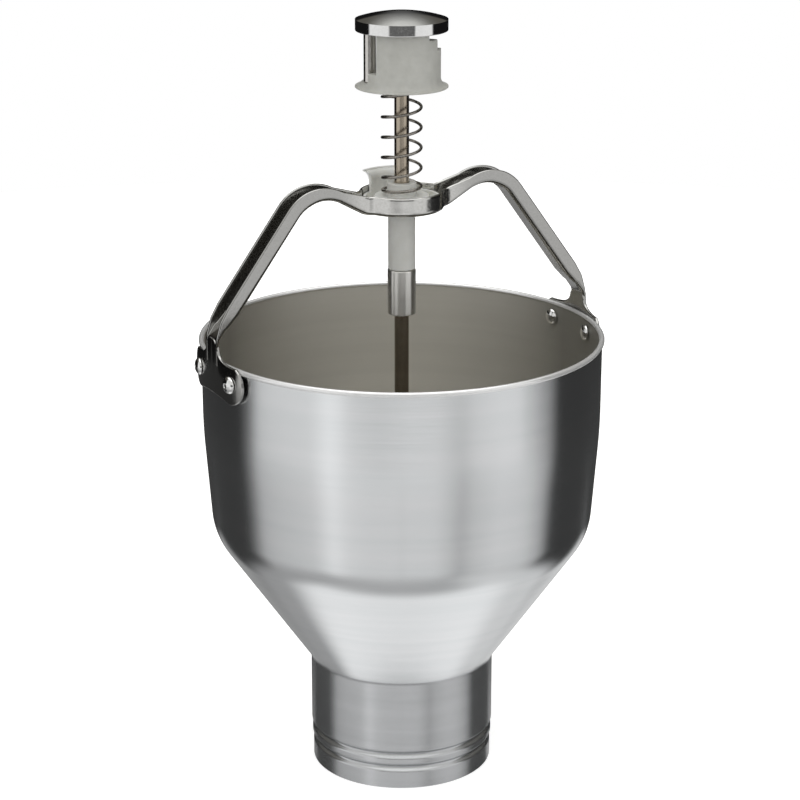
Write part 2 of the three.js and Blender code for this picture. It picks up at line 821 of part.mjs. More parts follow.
// Every nut on the rod is alike; each is placed by the height of its lower face
function rodNut(name, bottom) {
  const shape = new THREE.Shape();
  for (let k = 0; k < 6; k += 1) {
    const angle = (Math.PI / 3) * k;
    const [x, y] = [nutRadius * Math.cos(angle), nutRadius * Math.sin(angle)];
    if (k) shape.lineTo(x, y);
    else shape.moveTo(x, y);
  }
  shape.closePath();
  const nut = slabAlongZ(shape, 0, nutHeight, 1);
  const bore = rodSolid(boreRadius, -cutOverrun, nutHeight + cutOverrun, rodSides);
  const mesh = piece(name, nut.subtract(bore), 'polishedSteel');
  mesh.position.z = bottom;
  return mesh;
}

function dialSleeve() {
  const sleeve = turnedSolid([
    [sleeveInner, dialBottom + sleeveFootRise],
    [sleeveOuter, dialBottom + sleeveFootRise],
    [sleeveOuter, sleeveTop],
    [boreRadius, sleeveTop],
    [boreRadius, sleeveWebBottom],
    [sleeveInner, sleeveWebBottom],
  ], smallSides);
  return piece('dial_sleeve', sleeve, 'greyNylon');
}

function portionDial() {
  const flare = lipPoints(dialRadius).map(([radius, rise]) => [radius, dialBottom + rise]);
  const foot = turnedSolid([
    [dialBore, dialBottom],
    [dialRadius + lipReach, dialBottom],
    ...flare.reverse(),
    [dialBore, dialBottom + lipHeight],
  ], bodySides);
  const lowSector = slabAlongZ(
    sectorShape(dialBore - seatGap, dialRadius + lipReach + cutOverrun, dialSteps[0].to, dialSteps[1].from),
    dialLow,
    dialLow + cutOverrun,
    smallSides,
  );
  let dial = foot.subtract(lowSector);
  for (const step of dialSteps) {
    const sector = sectorShape(dialBore, dialRadius, step.from, step.to);
    const top = dialLow + step.rises * stepRise;
    dial = dial.add(slabAlongZ(sector, dialBottom, top, Math.ceil((step.to - step.from) / 6)));
  }
  return piece('portion_dial', dial, 'greyNylon');
}

function stopPost() {
  const bottom = dialLow + seatGap;
  const post = turnedSolid([
    [0, bottom],
    [postRadius, bottom],
    [postRadius, buttonRoof - seatGap],
    [spigotRadius, buttonRoof - seatGap],
    [spigotRadius, buttonRoof + spigotLength],
    [0, buttonRoof + spigotLength],
  ], rodSides);
  const mesh = piece('stop_post', post, 'polishedSteel');
  mesh.position.set(
    postCentreRadius * Math.cos(turned(postAngle)),
    postCentreRadius * Math.sin(turned(postAngle)),
    0,
  );
  return mesh;
}

function thumbButton() {
  const dome = [];
  const domeRadius = (buttonRadius ** 2 + buttonDome ** 2) / (2 * buttonDome);
  const domeAngle = Math.asin(buttonRadius / domeRadius);
  const centre = buttonShoulder + buttonDome - domeRadius;
  const steps = 6;
  for (let k = 0; k <= steps; k += 1) {
    const angle = domeAngle * (1 - k / steps);
    dome.push([domeRadius * Math.sin(angle), centre + domeRadius * Math.cos(angle)]);
  }
  let cap = turnedSolid([
    [0, buttonRoof],
    [buttonRadius - buttonWall, buttonRoof],
    [buttonRadius - buttonWall, buttonBottom],
    [buttonRadius, buttonBottom],
    ...dome,
  ], bodySides);
  cap = cap.subtract(rodSolid(boreRadius, buttonRoof - cutOverrun, rodTop + seatGap, rodSides));
  const spigotHole = new THREE.CylinderGeometry(
    spigotRadius + boreGap,
    spigotRadius + boreGap,
    spigotLength + seatGap + cutOverrun,
    rodSides,
  );
  spigotHole.rotateX(Math.PI / 2);
  spigotHole.translate(
    postCentreRadius * Math.cos(turned(postAngle)),
    postCentreRadius * Math.sin(turned(postAngle)),
    buttonRoof + (spigotLength + seatGap - cutOverrun) / 2,
  );
  return piece('thumb_button', cap.subtract(solidOf(spigotHole)), 'chrome');
}

const body = new THREE.Group();
body.add(hopperShell(), outletLiner(), bailHandle(), ...rivets(), guideBush(), returnSpring());

const plunger = new THREE.Group();
plunger.add(plungerRod(), stopCollar(), collarScrew(), upperPiston(), cutoffDisc(), discSeal());
plunger.add(washer('disc_washer', discHeight - seatGap));
plunger.add(rodNut('disc_lower_nut', discHeight - 2 * seatGap - washerThickness - nutHeight));
plunger.add(rodNut('disc_upper_nut', discTop + seatGap));
plunger.add(washer('piston_washer', pistonBottom - seatGap));
plunger.add(rodNut('piston_lower_nut', pistonBottom - 2 * seatGap - washerThickness - nutHeight));
plunger.add(rodNut('piston_upper_nut', pistonTop + pistonHubHeight + seatGap));
plunger.add(rodNut('rod_top_nut', sleeveWebBottom - seatGap - nutHeight));
plunger.add(thumbButton(), stopPost());

const dialGroup = new THREE.Group();
dialGroup.add(dialSleeve(), portionDial());

const dispenser = new THREE.Group();
dispenser.name = 'batter_dispenser';
dispenser.add(body, plunger, dialGroup);

export default dispenser;
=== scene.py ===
"""A batter dispenser: spun hopper, chromed bail, sprung plunger and stepped portion dial.
Sizes are in millimetres and become metres in the meshes. The bail lies along X."""

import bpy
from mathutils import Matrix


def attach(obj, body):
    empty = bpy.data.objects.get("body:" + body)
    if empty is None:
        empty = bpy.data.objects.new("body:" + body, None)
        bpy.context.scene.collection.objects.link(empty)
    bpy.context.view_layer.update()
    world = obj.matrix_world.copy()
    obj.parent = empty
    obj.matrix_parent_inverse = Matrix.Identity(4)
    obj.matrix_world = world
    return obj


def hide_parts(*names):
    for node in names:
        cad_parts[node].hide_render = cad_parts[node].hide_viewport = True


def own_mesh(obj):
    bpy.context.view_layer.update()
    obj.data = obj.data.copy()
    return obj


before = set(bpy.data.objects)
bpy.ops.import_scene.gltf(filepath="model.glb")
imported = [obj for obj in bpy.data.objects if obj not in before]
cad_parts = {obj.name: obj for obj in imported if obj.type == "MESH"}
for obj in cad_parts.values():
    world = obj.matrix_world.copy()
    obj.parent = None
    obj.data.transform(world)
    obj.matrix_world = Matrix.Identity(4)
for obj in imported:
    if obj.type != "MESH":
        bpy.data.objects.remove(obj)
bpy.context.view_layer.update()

from math import acos, asin, atan2, ceil, cos, degrees, dist, hypot, pi, radians, sin, sqrt, tan

import bmesh
import bpy
from mathutils import Matrix, Vector

MM = 0.001
SEAT_GAP = 0.3

# Hopper. A corner is its radius, its height and the radius of its rounding.
RIM_RADIUS = 110
RIM_HEIGHT = 251
SHELL_WALL = 1.5
BEAD_RADIUS = 1.5
BEAD_REACH = 1.2
WALL_BREAK = (109.8, 200, 300)
SHOULDER = (105.3, 141, 35)
CONE_TOP = 150
TUBE_RADIUS = 51.5
TUBE_HEIGHT = 63.7
TUBE_BLEND = 4
TUBE_MIDDLE = 40
INSIDE_BOTTOM = 26

# Grooves at the foot of the tube: height of the middle, upper radius and lower radius of each
GROOVES = ((20.5, 51.5, 51.1), (12.5, 51.1, 50.6))
GROOVE_WIDTH = 5.5
GROOVE_DEPTH = 2
FOOT_RADIUS = 50.6

# Outlet liner
LINER_BORE = 44.25
LINER_NECK = 46.05
LINER_RADIUS = 49
LINER_BOTTOM = 3
LINER_LEDGE = 24.3
LINER_TOP = 60
LINER_MOUTH = 2.5

# Bail. Each of DEPTHS is a distance from the middle along X and the flanges' height there.
SHEET = 1.6
ARM_HALF_WIDTH = 7.25
HUB_UNDERSIDE = 321
HUB_RADIUS = 23
HUB_BORE = 7.7
HUB_BORE_RUN = (310, 340)
FLARE_RADIUS = 8
HUB_DEPTH = 10.3
DEPTHS = ((23, 10.3), (38.9, 6.2), (59, 8.2), (103, 8.2), (108, 6.2), (111.3, 1.7))
FLANGE_SHARES = (0.08, 0.5, 0.92, 1)
VALLEY_X = 23.9
VALLEY_BLEND = 6.6
PEAK_BLEND = 22
RISE_ANGLE = 22.4
ARM_ANGLE = 53.7
ARM_FOOT_RISE = 13.3
ARM_STEP = 1.2
WEB_CORNER = 2.2
KNUCKLE_START = 4.5
KNUCKLE_RADIUS = 5
KNUCKLE_DROP = 12
KNUCKLE_SINK = 0.02

# Bracket plates and rivets
PLATE_INNER = 111.5
PLATE_OUTER = 113.3
PLATE_TOP = 263
PLATE_TOP_HALF_WIDTH = 7.3
PLATE_CROWN = 4
PLATE_HALF_SPAN = 31
PLATE_EDGE = 0.55
LOBE_RADIUS = 11
SCALLOP_RISE = 4
RIVET_HEIGHT = 242
RIVET_ANGLE = 10
RIVET_HEAD = 4.75
RIVET_DOME = 2.6
RIVET_SHANK = 2.4
RIVET_MARK = ((0, 2.2), (1.1, 2.2), (1.5, 2.55))

# Flared lip of the bush's guard and of the dial
LIP_REACH = 4.1
LIP_EDGE = 0.8
LIP_RISE = 4.7

# Guide bush
BUSH_BOTTOM = 287.7
BUSH_BASE = 322.9
BUSH_SEAT = 328.6
BUSH_TUBE_RADIUS = 7.4
BUSH_RADIUS = 21
BUSH_WALL = 1.6
BUSH_RING_RISE = 5.2
BUSH_FLOOR_RISE = 1.8
BUSH_STEP_RADIUS = 14.85
BOSS_RADIUS = 8
BOSS_HEIGHT = 7.1
BOSS_CHAMFER = 0.5
GUARD_RISE = 16.6
GUARD_SINK = 1
GUARD_SPAN = (58, 121)

# Plunger rod, its collar and the set screw
ROD_RADIUS = 3.97
BORE_RADIUS = 4.27
ROD_BOTTOM = 1.2
ROD_TOP = 426
COLLAR_TOP = 287.4
COLLAR_LENGTH = 25.1
COLLAR_RADIUS = 7.7
SCREW_ANGLE = 63
SCREW_RADIUS = 1.9
SCREW_END = 7.4
SOCKET_RADIUS = 1.0
SOCKET_FLOOR = 5.9
TAPPED_RADIUS = 2.2
TAPPED_RUN = (3, 15)

# Discs, washers and nuts on the rod
DISC_RADIUS = 43.75
PISTON_BOTTOM = 73
PISTON_TOP = 79
PISTON_BEVEL = 1.5
PISTON_HUB_TOP = 82
PISTON_HUB_FOOT = 12
PISTON_HUB_RADIUS = 9
CUTOFF_BOTTOM = 7
CUTOFF_TOP = 12
SEAL_RADIUS = 1.4
GROOVE_FLOOR = 40.85
GROOVE_LIP = 0.8
WASHER_RADIUS = 11
WASHER_THICKNESS = 0.8
NUT_HEIGHT = 3.2
NUT_RADIUS = 7.33
NUT_CHAMFER = 0.35

# Button and stop post
BUTTON_ROOF = 422.8
BUTTON_BOTTOM = 417.8
BUTTON_SHOULDER = 423.8
BUTTON_RADIUS = 24.8
BUTTON_BORE = 23.4
BUTTON_DOME = 3.9
BUTTON_HOLE_START = 420
POST_PLACE = (17.2, 163)
POST_RADIUS = 3.3
POST_PIN_RADIUS = 1.6
POST_PIN_RISE = 2

# Button barrel
SLEEVE_BORE = 11.8
SLEEVE_RADIUS = 13.2
SLEEVE_BOTTOM = 388.6
SLEEVE_TOP = BUTTON_ROOF - SEAT_GAP
SLEEVE_ROOF = SLEEVE_TOP - 1.8

# Return spring, from the bush's seat to the barrel
WIRE_RADIUS = 0.8
COIL_RADIUS = 10.5
COIL_PITCH = 11
COIL_LOW_PITCH = 4.2
COIL_HIGH_PITCH = 2.2
COIL_PHASE = 15.5
COIL_TURN_STEPS = 48
SPRING_BOTTOM = BUSH_SEAT + SEAT_GAP
SPRING_TOP = SLEEVE_ROOF - SEAT_GAP

# Dial. A step is its first angle, its last angle and its height in rises.
DIAL_BOTTOM = 387.4
DIAL_LOW = 390.4
DIAL_BORE = 13.5
DIAL_RADIUS = 20.9
DIAL_ROUNDING = 0.5
STEP_RISE = 6
RISER_EASE = 0.55
DIAL_STEPS = ((-27, 63, 1), (63, 184, 0), (184, 203, 1), (203, 287, 5), (287, 308, 4), (308, 333, 3))

# Camera and floor
VIEW_TURN = radians(27)
CAMERA_DISTANCE = 1347.945
CAMERA_HEIGHT = 639.57
CAMERA_PITCH = 17.59
LENS = 114.89
LENS_SHIFT = -0.0021
FLOOR_RADIUS = 1500
FLOOR_GLOW = 0.62

# Light levels of the studio round the horizon: degrees from the front to the right, and level
LOW_LEVELS = (
    (-180, 0.05), (-106, 0.045), (-99, 0.2), (-92, 0.48), (-78, 0.57), (-54, 0.68),
    (-42, 0.98), (-32, 0.84), (-20, 0.8), (20, 0.78), (28, 0.66), (36, 0.46),
    (44, 0.6), (60, 0.72), (80, 0.68), (92, 0.48), (101, 0.045), (180, 0.05),
)
MIDDLE_LEVELS = (
    (-180, 0.008), (-90, 0.008), (-84, 0.9), (-34, 0.84), (-29, 0.13),
    (31, 0.12), (35, 0.84), (79, 0.9), (85, 0.008), (180, 0.008),
)
RING_LEVELS = (
    (-180, 0.01), (-95, 0.01), (-87, 0.9), (-34, 0.86), (-12, 0.6), (6, 0.95),
    (35, 0.9), (70, 0.8), (76, 0.1), (87, 0.03), (180, 0.01),
)

# Light levels of the sweep in front, from straight below out to the front
SWEEP_LEVELS = (
    (0.0, 0.92), (0.06, 0.88), (0.2, 0.62), (0.32, 0.44), (0.42, 0.4), (0.6, 0.44), (0.75, 0.52), (1.0, 0.6),
)


def arc(cx, cy, radius, start, end, steps):
    """Points of an arc, angles in degrees."""
    turn = [radians(start + (end - start) * k / steps) for k in range(steps + 1)]
    return [(cx + radius * cos(a), cy + radius * sin(a)) for a in turn]


def rounded(corners, closed=True, steps=5):
    """A 2D path from corners (x, y) or (x, y, radius), with an arc at each corner that has a radius."""
    path = []
    count = len(corners)
    for i, corner in enumerate(corners):
        here = Vector(corner[:2])
        radius = corner[2] if len(corner) > 2 else 0
        if not radius or (not closed and i in (0, count - 1)):
            path.append(tuple(here))
            continue
        back = Vector(corners[i - 1][:2]) - here
        ahead = Vector(corners[(i + 1) % count][:2]) - here
        half = back.angle(ahead) / 2
        reach = min(radius / tan(half), 0.49 * back.length, 0.49 * ahead.length)
        radius = reach * tan(half)
        back.normalize()
        ahead.normalize()
        centre = here + (back + ahead).normalized() * radius / sin(half)
        start = here + back * reach - centre
        end = here + ahead * reach - centre
        sweep = atan2(start.x * end.y - start.y * end.x, start.dot(end))
        for k in range(steps + 1):
            spoke = start.copy()
            spoke.rotate(Matrix.Rotation(sweep * k / steps, 2))
            path.append(tuple(centre + spoke))
    return path


def heading(line, i):
    """The unit direction of a line of points at point i."""
    return (Vector(line[min(i + 1, len(line) - 1)]) - Vector(line[max(i - 1, 0)])).normalized()


def around(radius, angle, height=0):
    """A point at a radius and an angle round the Z axis."""
    a = radians(angle)
    return Vector((radius * cos(a), radius * sin(a), height))


def link(name, data):
    """A new object in the scene."""
    obj = bpy.data.objects.new(name, data)
    bpy.context.scene.collection.objects.link(obj)
    return obj


def make(name, corners, faces, crease=32):
    """A mesh object from corners in millimetres, with smooth shading broken at sharp edges."""
    mesh = bpy.data.meshes.new(name)
    mesh.from_pydata([Vector(c) * MM for c in corners], [], faces)
    obj = link(name, mesh)
    tidy(obj, crease)
    return obj


def tidy(obj, crease=32, weld=1e-6):
    """Weld doubles, drop slivers, turn faces outward and set the shading."""
    bm = bmesh.new()
    bm.from_mesh(obj.data)
    if weld:
        bmesh.ops.remove_doubles(bm, verts=bm.verts, dist=weld)
        bmesh.ops.dissolve_degenerate(bm, edges=bm.edges, dist=weld / 10)
    bmesh.ops.delete(bm, geom=[e for e in bm.edges if not e.link_faces], context="EDGES")
    bmesh.ops.recalc_face_normals(bm, faces=bm.faces)
    bm.to_mesh(obj.data)
    bm.free()
    obj.data.shade_smooth()
    obj.data.set_sharp_from_angle(angle=radians(crease))


def supported(profile, reach=0.2):
    """A closed profile with a point close to both ends of each long run, so that its shading stays flat."""
    path = []
    for (x0, y0), (x1, y1) in zip(profile, profile[1:] + profile[:1]):
        path.append((x0, y0))
        length = hypot(x1 - x0, y1 - y0)
        if length > 6 * reach:
            for share in (reach / length, 1 - reach / length):
                path.append((x0 + (x1 - x0) * share, y0 + (y1 - y0) * share))
    return path


def bands(count, sides, rings):
    """Faces between rings of count points; after the last ring comes the first again."""
    faces = []
    for k in range(sides):
        here = k * count
        there = ((k + 1) % rings) * count
        for i in range(count):
            j = (i + 1) % count
            faces.append((here + i, there + i, there + j, here + j))
    return faces


def lathe(name, profile, sides=128, crease=32, span=None):
    """Turn a closed (radius, height) profile round Z. span is a part turn in degrees, with closed ends."""
    profile = supported(profile)
    first, last = span or (0, 360)
    rings = sides if span is None else sides + 1
    count = len(profile)
    corners = []
    for k in range(rings):
        corners += [around(r, first + (last - first) * k / sides, z) for r, z in profile]
    faces = bands(count, sides, rings)
    if span:
        faces.append(tuple(range(count)))
        faces.append(tuple(range((rings - 1) * count, rings * count))[::-1])
    return make(name, corners, faces, crease)


def loft(name, sections, crease=32):
    """Join closed sections of equal length into one body with flat ends."""
    count = len(sections[0])
    corners = [p for section in sections for p in section]
    faces = []
    for k in range(len(sections) - 1):
        for i in range(count):
            j = (i + 1) % count
            faces.append((k * count + i, k * count + j, (k + 1) * count + j, (k + 1) * count + i))
    faces.append(tuple(range(count)))
    faces.append(tuple(range((len(sections) - 1) * count, len(sections) * count))[::-1])
    return make(name, corners, faces, crease)


def boolean(target, tool, operation):
    """Cut target with tool, or join them, and remove tool."""
    modifier = target.modifiers.new("boolean", "BOOLEAN")
    modifier.operation = operation
    modifier.solver = "MANIFOLD"
    modifier.object = tool
    graph = bpy.context.evaluated_depsgraph_get()
    mesh = bpy.data.meshes.new_from_object(target.evaluated_get(graph))
    target.modifiers.clear()
    target.data = mesh
    bpy.data.objects.remove(tool)
    tidy(target, weld=0)
    return target


def rod_between(name, radius, start, end, sides=48):
    """A plain round tool for cuts, between two points in millimetres."""
    start, end = Vector(start), Vector(end)
    aim = (end - start).to_track_quat("Z", "Y")
    ring = [aim @ Vector((x, y, 0)) for x, y in arc(0, 0, radius, 0, 360, sides)[:-1]]
    return loft(name, [[start + p for p in ring], [end + p for p in ring]])


def place_radially(obj, angle, height):
    """Turn a body made along Z so that it points outward along X, swung by angle, at a height."""
    turn = Matrix.Rotation(radians(angle), 4, "Z") @ Matrix.Rotation(pi / 2, 4, "Y")
    obj.data.transform(Matrix.Translation((0, 0, height * MM)) @ turn)
    return obj


# Materials

def add(tree, kind, inputs=None, **settings):
    """A shader node with its settings, and its inputs set to numbers or linked to sockets."""
    node = tree.nodes.new("ShaderNode" + kind)
    for key, value in settings.items():
        setattr(node, key, value)
    for key, value in (inputs or {}).items():
        if isinstance(value, bpy.types.NodeSocket):
            tree.links.new(value, node.inputs[key])
        else:
            node.inputs[key].default_value = value
    return node


def compute(operation, *values):
    """The result of one Math node, in the node tree of its first value."""
    return add(values[0].id_data, "Math", dict(enumerate(values)), operation=operation).outputs[0]


def plus(first, second):
    """The sum of two values."""
    return compute("ADD", first, second)


def times(first, second):
    """The product of two values."""
    return compute("MULTIPLY", first, second)


def remap(value, low, high, to_low, to_high, smooth=False):
    """Carry a value from one range to another and hold it inside that."""
    kind = "SMOOTHSTEP" if smooth else "LINEAR"
    inputs = {"Value": value, "From Min": low, "From Max": high, "To Min": to_low, "To Max": to_high}
    return add(value.id_data, "MapRange", inputs, interpolation_type=kind).outputs["Result"]


def rising(value, low, high):
    """0 up to low, 1 from high on, and a smooth passage between them."""
    return remap(value, low, high, 0, 1, True)


def falling(value, low, high):
    """1 up to low, 0 from high on, and a smooth passage between them."""
    return remap(value, low, high, 1, 0, True)


def noise(vector, scale, detail=3, roughness=0.5):
    """A noise with this many cycles for each unit of the vector."""
    inputs = {"Vector": vector, "Scale": scale, "Detail": detail, "Roughness": roughness}
    return add(vector.id_data, "TexNoise", inputs).outputs["Fac"]


def colour_between(factor, low, high):
    """A colour between low and high."""
    ramp = add(factor.id_data, "ValToRGB", {"Fac": factor})
    ramp.color_ramp.elements[0].color = (*low, 1)
    ramp.color_ramp.elements[1].color = (*high, 1)
    return ramp.outputs["Color"]


def grey(level):
    """A neutral colour."""
    return (level, level, level)


def place(tree):
    """Object coordinates in millimetres."""
    spot = add(tree, "TexCoord").outputs["Object"]
    return add(tree, "VectorMath", {0: spot, "Scale": 1 / MM}, operation="SCALE").outputs[0]


def split(vector):
    """The x, y and z of a vector."""
    return add(vector.id_data, "SeparateXYZ", {0: vector}).outputs


def from_axis(x, y):
    """The distance from the Z axis."""
    return compute("SQRT", plus(times(x, x), times(y, y)))


def relief(strength, distance, height, below=None):
    """A bump of the height, this many metres deep, over the bump below it."""
    inputs = {"Strength": strength, "Distance": distance, "Height": height}
    if below is not None:
        inputs["Normal"] = below
    return add(height.id_data, "Bump", inputs).outputs[0]


def new_material(name, **constants):
    """A material with a Principled shader whose constant values are set on its own sockets."""
    material = bpy.data.materials.new(name)
    material.use_nodes = True
    tree = material.node_tree
    shader = tree.nodes["Principled BSDF"]
    for key, value in constants.items():
        shader.inputs[key.replace("_", " ")].default_value = value
    return material, tree, shader


def drive(shader, sources):
    """Link a source to each of the shader's named inputs."""
    for key, source in sources.items():
        shader.id_data.links.new(source, shader.inputs[key])


def spun_metal(name, low, high, rough_low, rough_high, anisotropy, bump, metallic=1):
    """Metal turned or spun round Z: fine rings in its roughness and surface, and a tone that wanders."""
    material, tree, shader = new_material(
        name, Metallic=metallic, Anisotropic=anisotropy, Anisotropic_Rotation=0.25,
    )
    spot = place(tree)
    x, y, z = split(spot)
    across = times(from_axis(x, y), 1.3)
    turn = compute("ARCTAN2", y, x)
    rings = add(tree, "CombineXYZ", {"X": across, "Y": turn, "Z": z}).outputs[0]
    fine = noise(rings, 2.2, 4, 0.65)
    broad = noise(rings, 0.16, 2, 0.5)
    cloud = noise(spot, 0.02, 3, 0.55)
    tone = plus(times(broad, 0.5), times(cloud, 0.5))
    wear = plus(times(fine, 0.7), times(cloud, 0.3))
    drive(shader, {
        "Base Color": colour_between(remap(tone, 0.35, 0.65, 0, 1), low, high),
        "Roughness": remap(wear, 0.3, 0.7, rough_low, rough_high),
        "Normal": relief(bump, 0.0001, fine),
        "Tangent": add(tree, "Tangent", direction_type="RADIAL", axis="Z").outputs[0],
    })
    return material


def polished_metal(name, low, high, rough_low, rough_high, wave, grain, metallic=1):
    """Plated or polished metal: slow waves in the surface, faint wipe marks and a little grain."""
    material, tree, shader = new_material(name, Metallic=metallic)
    spot = place(tree)
    slow = noise(spot, 0.09, 2, 0.4)
    marks = noise(spot, 0.7, 5, 0.7)
    waves = relief(wave, 0.001, slow)
    drive(shader, {
        "Base Color": colour_between(remap(marks, 0.35, 0.7, 0, 1), low, high),
        "Roughness": remap(marks, 0.35, 0.7, rough_low, rough_high),
        "Normal": relief(grain, 0.0001, marks, waves),
    })
    return material


def moulded(name, low, high, rough_low, rough_high, bump, scatter=0.0):
    """Moulded plastic or rubber: a cloudy tone, a satin skin and a fine grain."""
    material, tree, shader = new_material(name, IOR=1.5, Subsurface_Weight=scatter, Subsurface_Scale=0.002)
    shader.inputs["Subsurface Radius"].default_value = (1.0, 0.95, 0.85)
    spot = place(tree)
    cloud = noise(spot, 0.11, 3, 0.55)
    grain = noise(spot, 2.5, 4, 0.6)
    drive(shader, {
        "Base Color": colour_between(remap(cloud, 0.35, 0.65, 0, 1), low, high),
        "Roughness": remap(grain, 0.3, 0.7, rough_low, rough_high),
        "Normal": relief(bump, 0.0002, grain),
    })
    return material


def scale_colour(material, tone):
    """Multiply what feeds the material's base colour by tone."""
    tree = material.node_tree
    socket = tree.nodes["Principled BSDF"].inputs["Base Color"]
    inputs = {0: socket.links[0].from_socket, "Scale": tone}
    tree.links.new(add(tree, "VectorMath", inputs, operation="SCALE").outputs[0], socket)


def paint_shade_towards_sides(material, bright_angle, spread_rate, least):
    """Paint shade on a round inside: darken its colour away from the lit side at bright_angle degrees, as
    the light falls off towards both sides.
    """
    x, y, _ = split(place(material.node_tree))
    a = radians(bright_angle)
    along = plus(times(x, cos(a)), times(y, sin(a)))
    apart = compute("ARCCOSINE", compute("DIVIDE", along, from_axis(x, y)))
    tone = compute("COSINE", compute("MINIMUM", times(apart, spread_rate), 1.5))
    scale_colour(material, compute("MAXIMUM", tone, least))


def paint_shade_along_arms(material, near, far, least):
    """Paint shade on a metal: darken its colour between near and far, two distances from the middle along X.
    """
    x = split(place(material.node_tree))["X"]
    scale_colour(material, remap(compute("ABSOLUTE", x), near, far, 1, least, True))


# The two tones and two roughnesses that each finish wanders between, then the strength of its own detail
SPUN = spun_metal("spun_aluminium", (0.79, 0.81, 0.82), (0.84, 0.85, 0.86), 0.17, 0.25, 0.7, 0.07)
# The tube is the wall's spun metal with a darker colour: painted shade.
SHADED_TUBE = spun_metal("spun_tube_painted_shade", (0.55, 0.56, 0.57), (0.61, 0.62, 0.63), 0.18, 0.26, 0.7, 0.08, 0.88)
INSIDE = spun_metal("spun_inside", (0.79, 0.763, 0.69), (0.845, 0.817, 0.74), 0.45, 0.55, 0.3, 0.15, 0.5)
# The inside's colour carries painted shade, darker away from its lit back.
paint_shade_towards_sides(INSIDE, 66, 1.12, 0.36)
# The rim bead is the hopper's metal with a rougher polish that spreads its highlight, and a brighter colour
# that is a painted highlight.
BRIGHTENED_RIM = polished_metal("rim_bead_painted_highlight", grey(0.88), grey(0.94), 0.16, 0.22, 0.05, 0.05, 0.5)
CHROME = polished_metal("chrome", (0.78, 0.78, 0.77), (0.84, 0.84, 0.83), 0.04, 0.08, 0.1, 0.04)
PLATING = polished_metal("bail_plating", (0.58, 0.575, 0.555), (0.68, 0.675, 0.655), 0.1, 0.18, 0.12, 0.06)
# The bail's arms carry painted shade: from 23 mm out to 42 mm their colour falls to 0.7 of the hub's.
paint_shade_along_arms(PLATING, 23, 42, 0.7)
TURNED = spun_metal("turned_steel", (0.88, 0.865, 0.83), (0.95, 0.935, 0.9), 0.27, 0.33, 0.9, 0.05)
STEEL = polished_metal("polished_steel", (0.6, 0.58, 0.55), (0.68, 0.66, 0.63), 0.13, 0.2, 0.08, 0.08)
ROD_STEEL = spun_metal("rod_steel", (0.44, 0.38, 0.305), (0.5, 0.435, 0.345), 0.16, 0.22, 0.7, 0.05)
WIRE = polished_metal("spring_wire", (0.28, 0.26, 0.24), (0.36, 0.34, 0.31), 0.22, 0.32, 0.05, 0.1)
GREY_NYLON = moulded("grey_nylon", (0.53, 0.53, 0.495), (0.61, 0.61, 0.575), 0.4, 0.52, 0.12, 0.3)
# The bush is pale nylon, made lighter still with painted light for the light that the bail and the hopper
# keep from it.
BRIGHTENED_NYLON = moulded("bush_nylon_painted_light", (0.81, 0.81, 0.775), (0.87, 0.87, 0.84), 0.4, 0.52, 0.1, 0.3)
WHITE_NYLON = moulded("white_nylon", (0.74, 0.73, 0.69), (0.8, 0.79, 0.75), 0.35, 0.48, 0.1, 0.2)
RUBBER = moulded("black_rubber", grey(0.025), (0.04, 0.04, 0.038), 0.6, 0.75, 0.3)


def finish(obj, body, material, node):
    """Give a piece its material in a slot and its body, and hide the CAD node that it stands for."""
    obj.data.materials.clear()
    obj.data.materials.append(material)
    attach(obj, body)
    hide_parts(node)


# Hopper

def groove_run(centre, upper, lower, steps=20):
    """The outside of one rolled groove, from its upper edge down."""
    run = []
    for k in range(steps + 1):
        share = k / steps
        straight = upper + (lower - upper) * share
        sink = GROOVE_DEPTH * (1 - cos(2 * pi * share)) / 2
        run.append((straight - sink, centre + GROOVE_WIDTH * (0.5 - share)))
    return run


OUTSIDE_SLOT, INSIDE_SLOT, TUBE_SLOT, RIM_SLOT = range(4)


def hopper_slot(centre, normal):
    """Which of the hopper's materials a face has, from its middle in millimetres and its normal. The tube's
    and the inside's carry painted shade, the rim's a painted highlight.
    """
    inward = normal.x * centre.x + normal.y * centre.y < 0
    on_cone = normal.z > 0.1 and centre.z < CONE_TOP
    inside = (inward and centre.z < RIM_HEIGHT - BEAD_RADIUS) or on_cone
    within = hypot(centre.x, centre.y) < RIM_RADIUS - 0.6
    if inside and within and centre.z > INSIDE_BOTTOM:
        return INSIDE_SLOT
    if not inward and centre.z < TUBE_HEIGHT + 1:
        return TUBE_SLOT
    if centre.z > RIM_HEIGHT - 2 * BEAD_RADIUS:
        return RIM_SLOT
    return OUTSIDE_SLOT


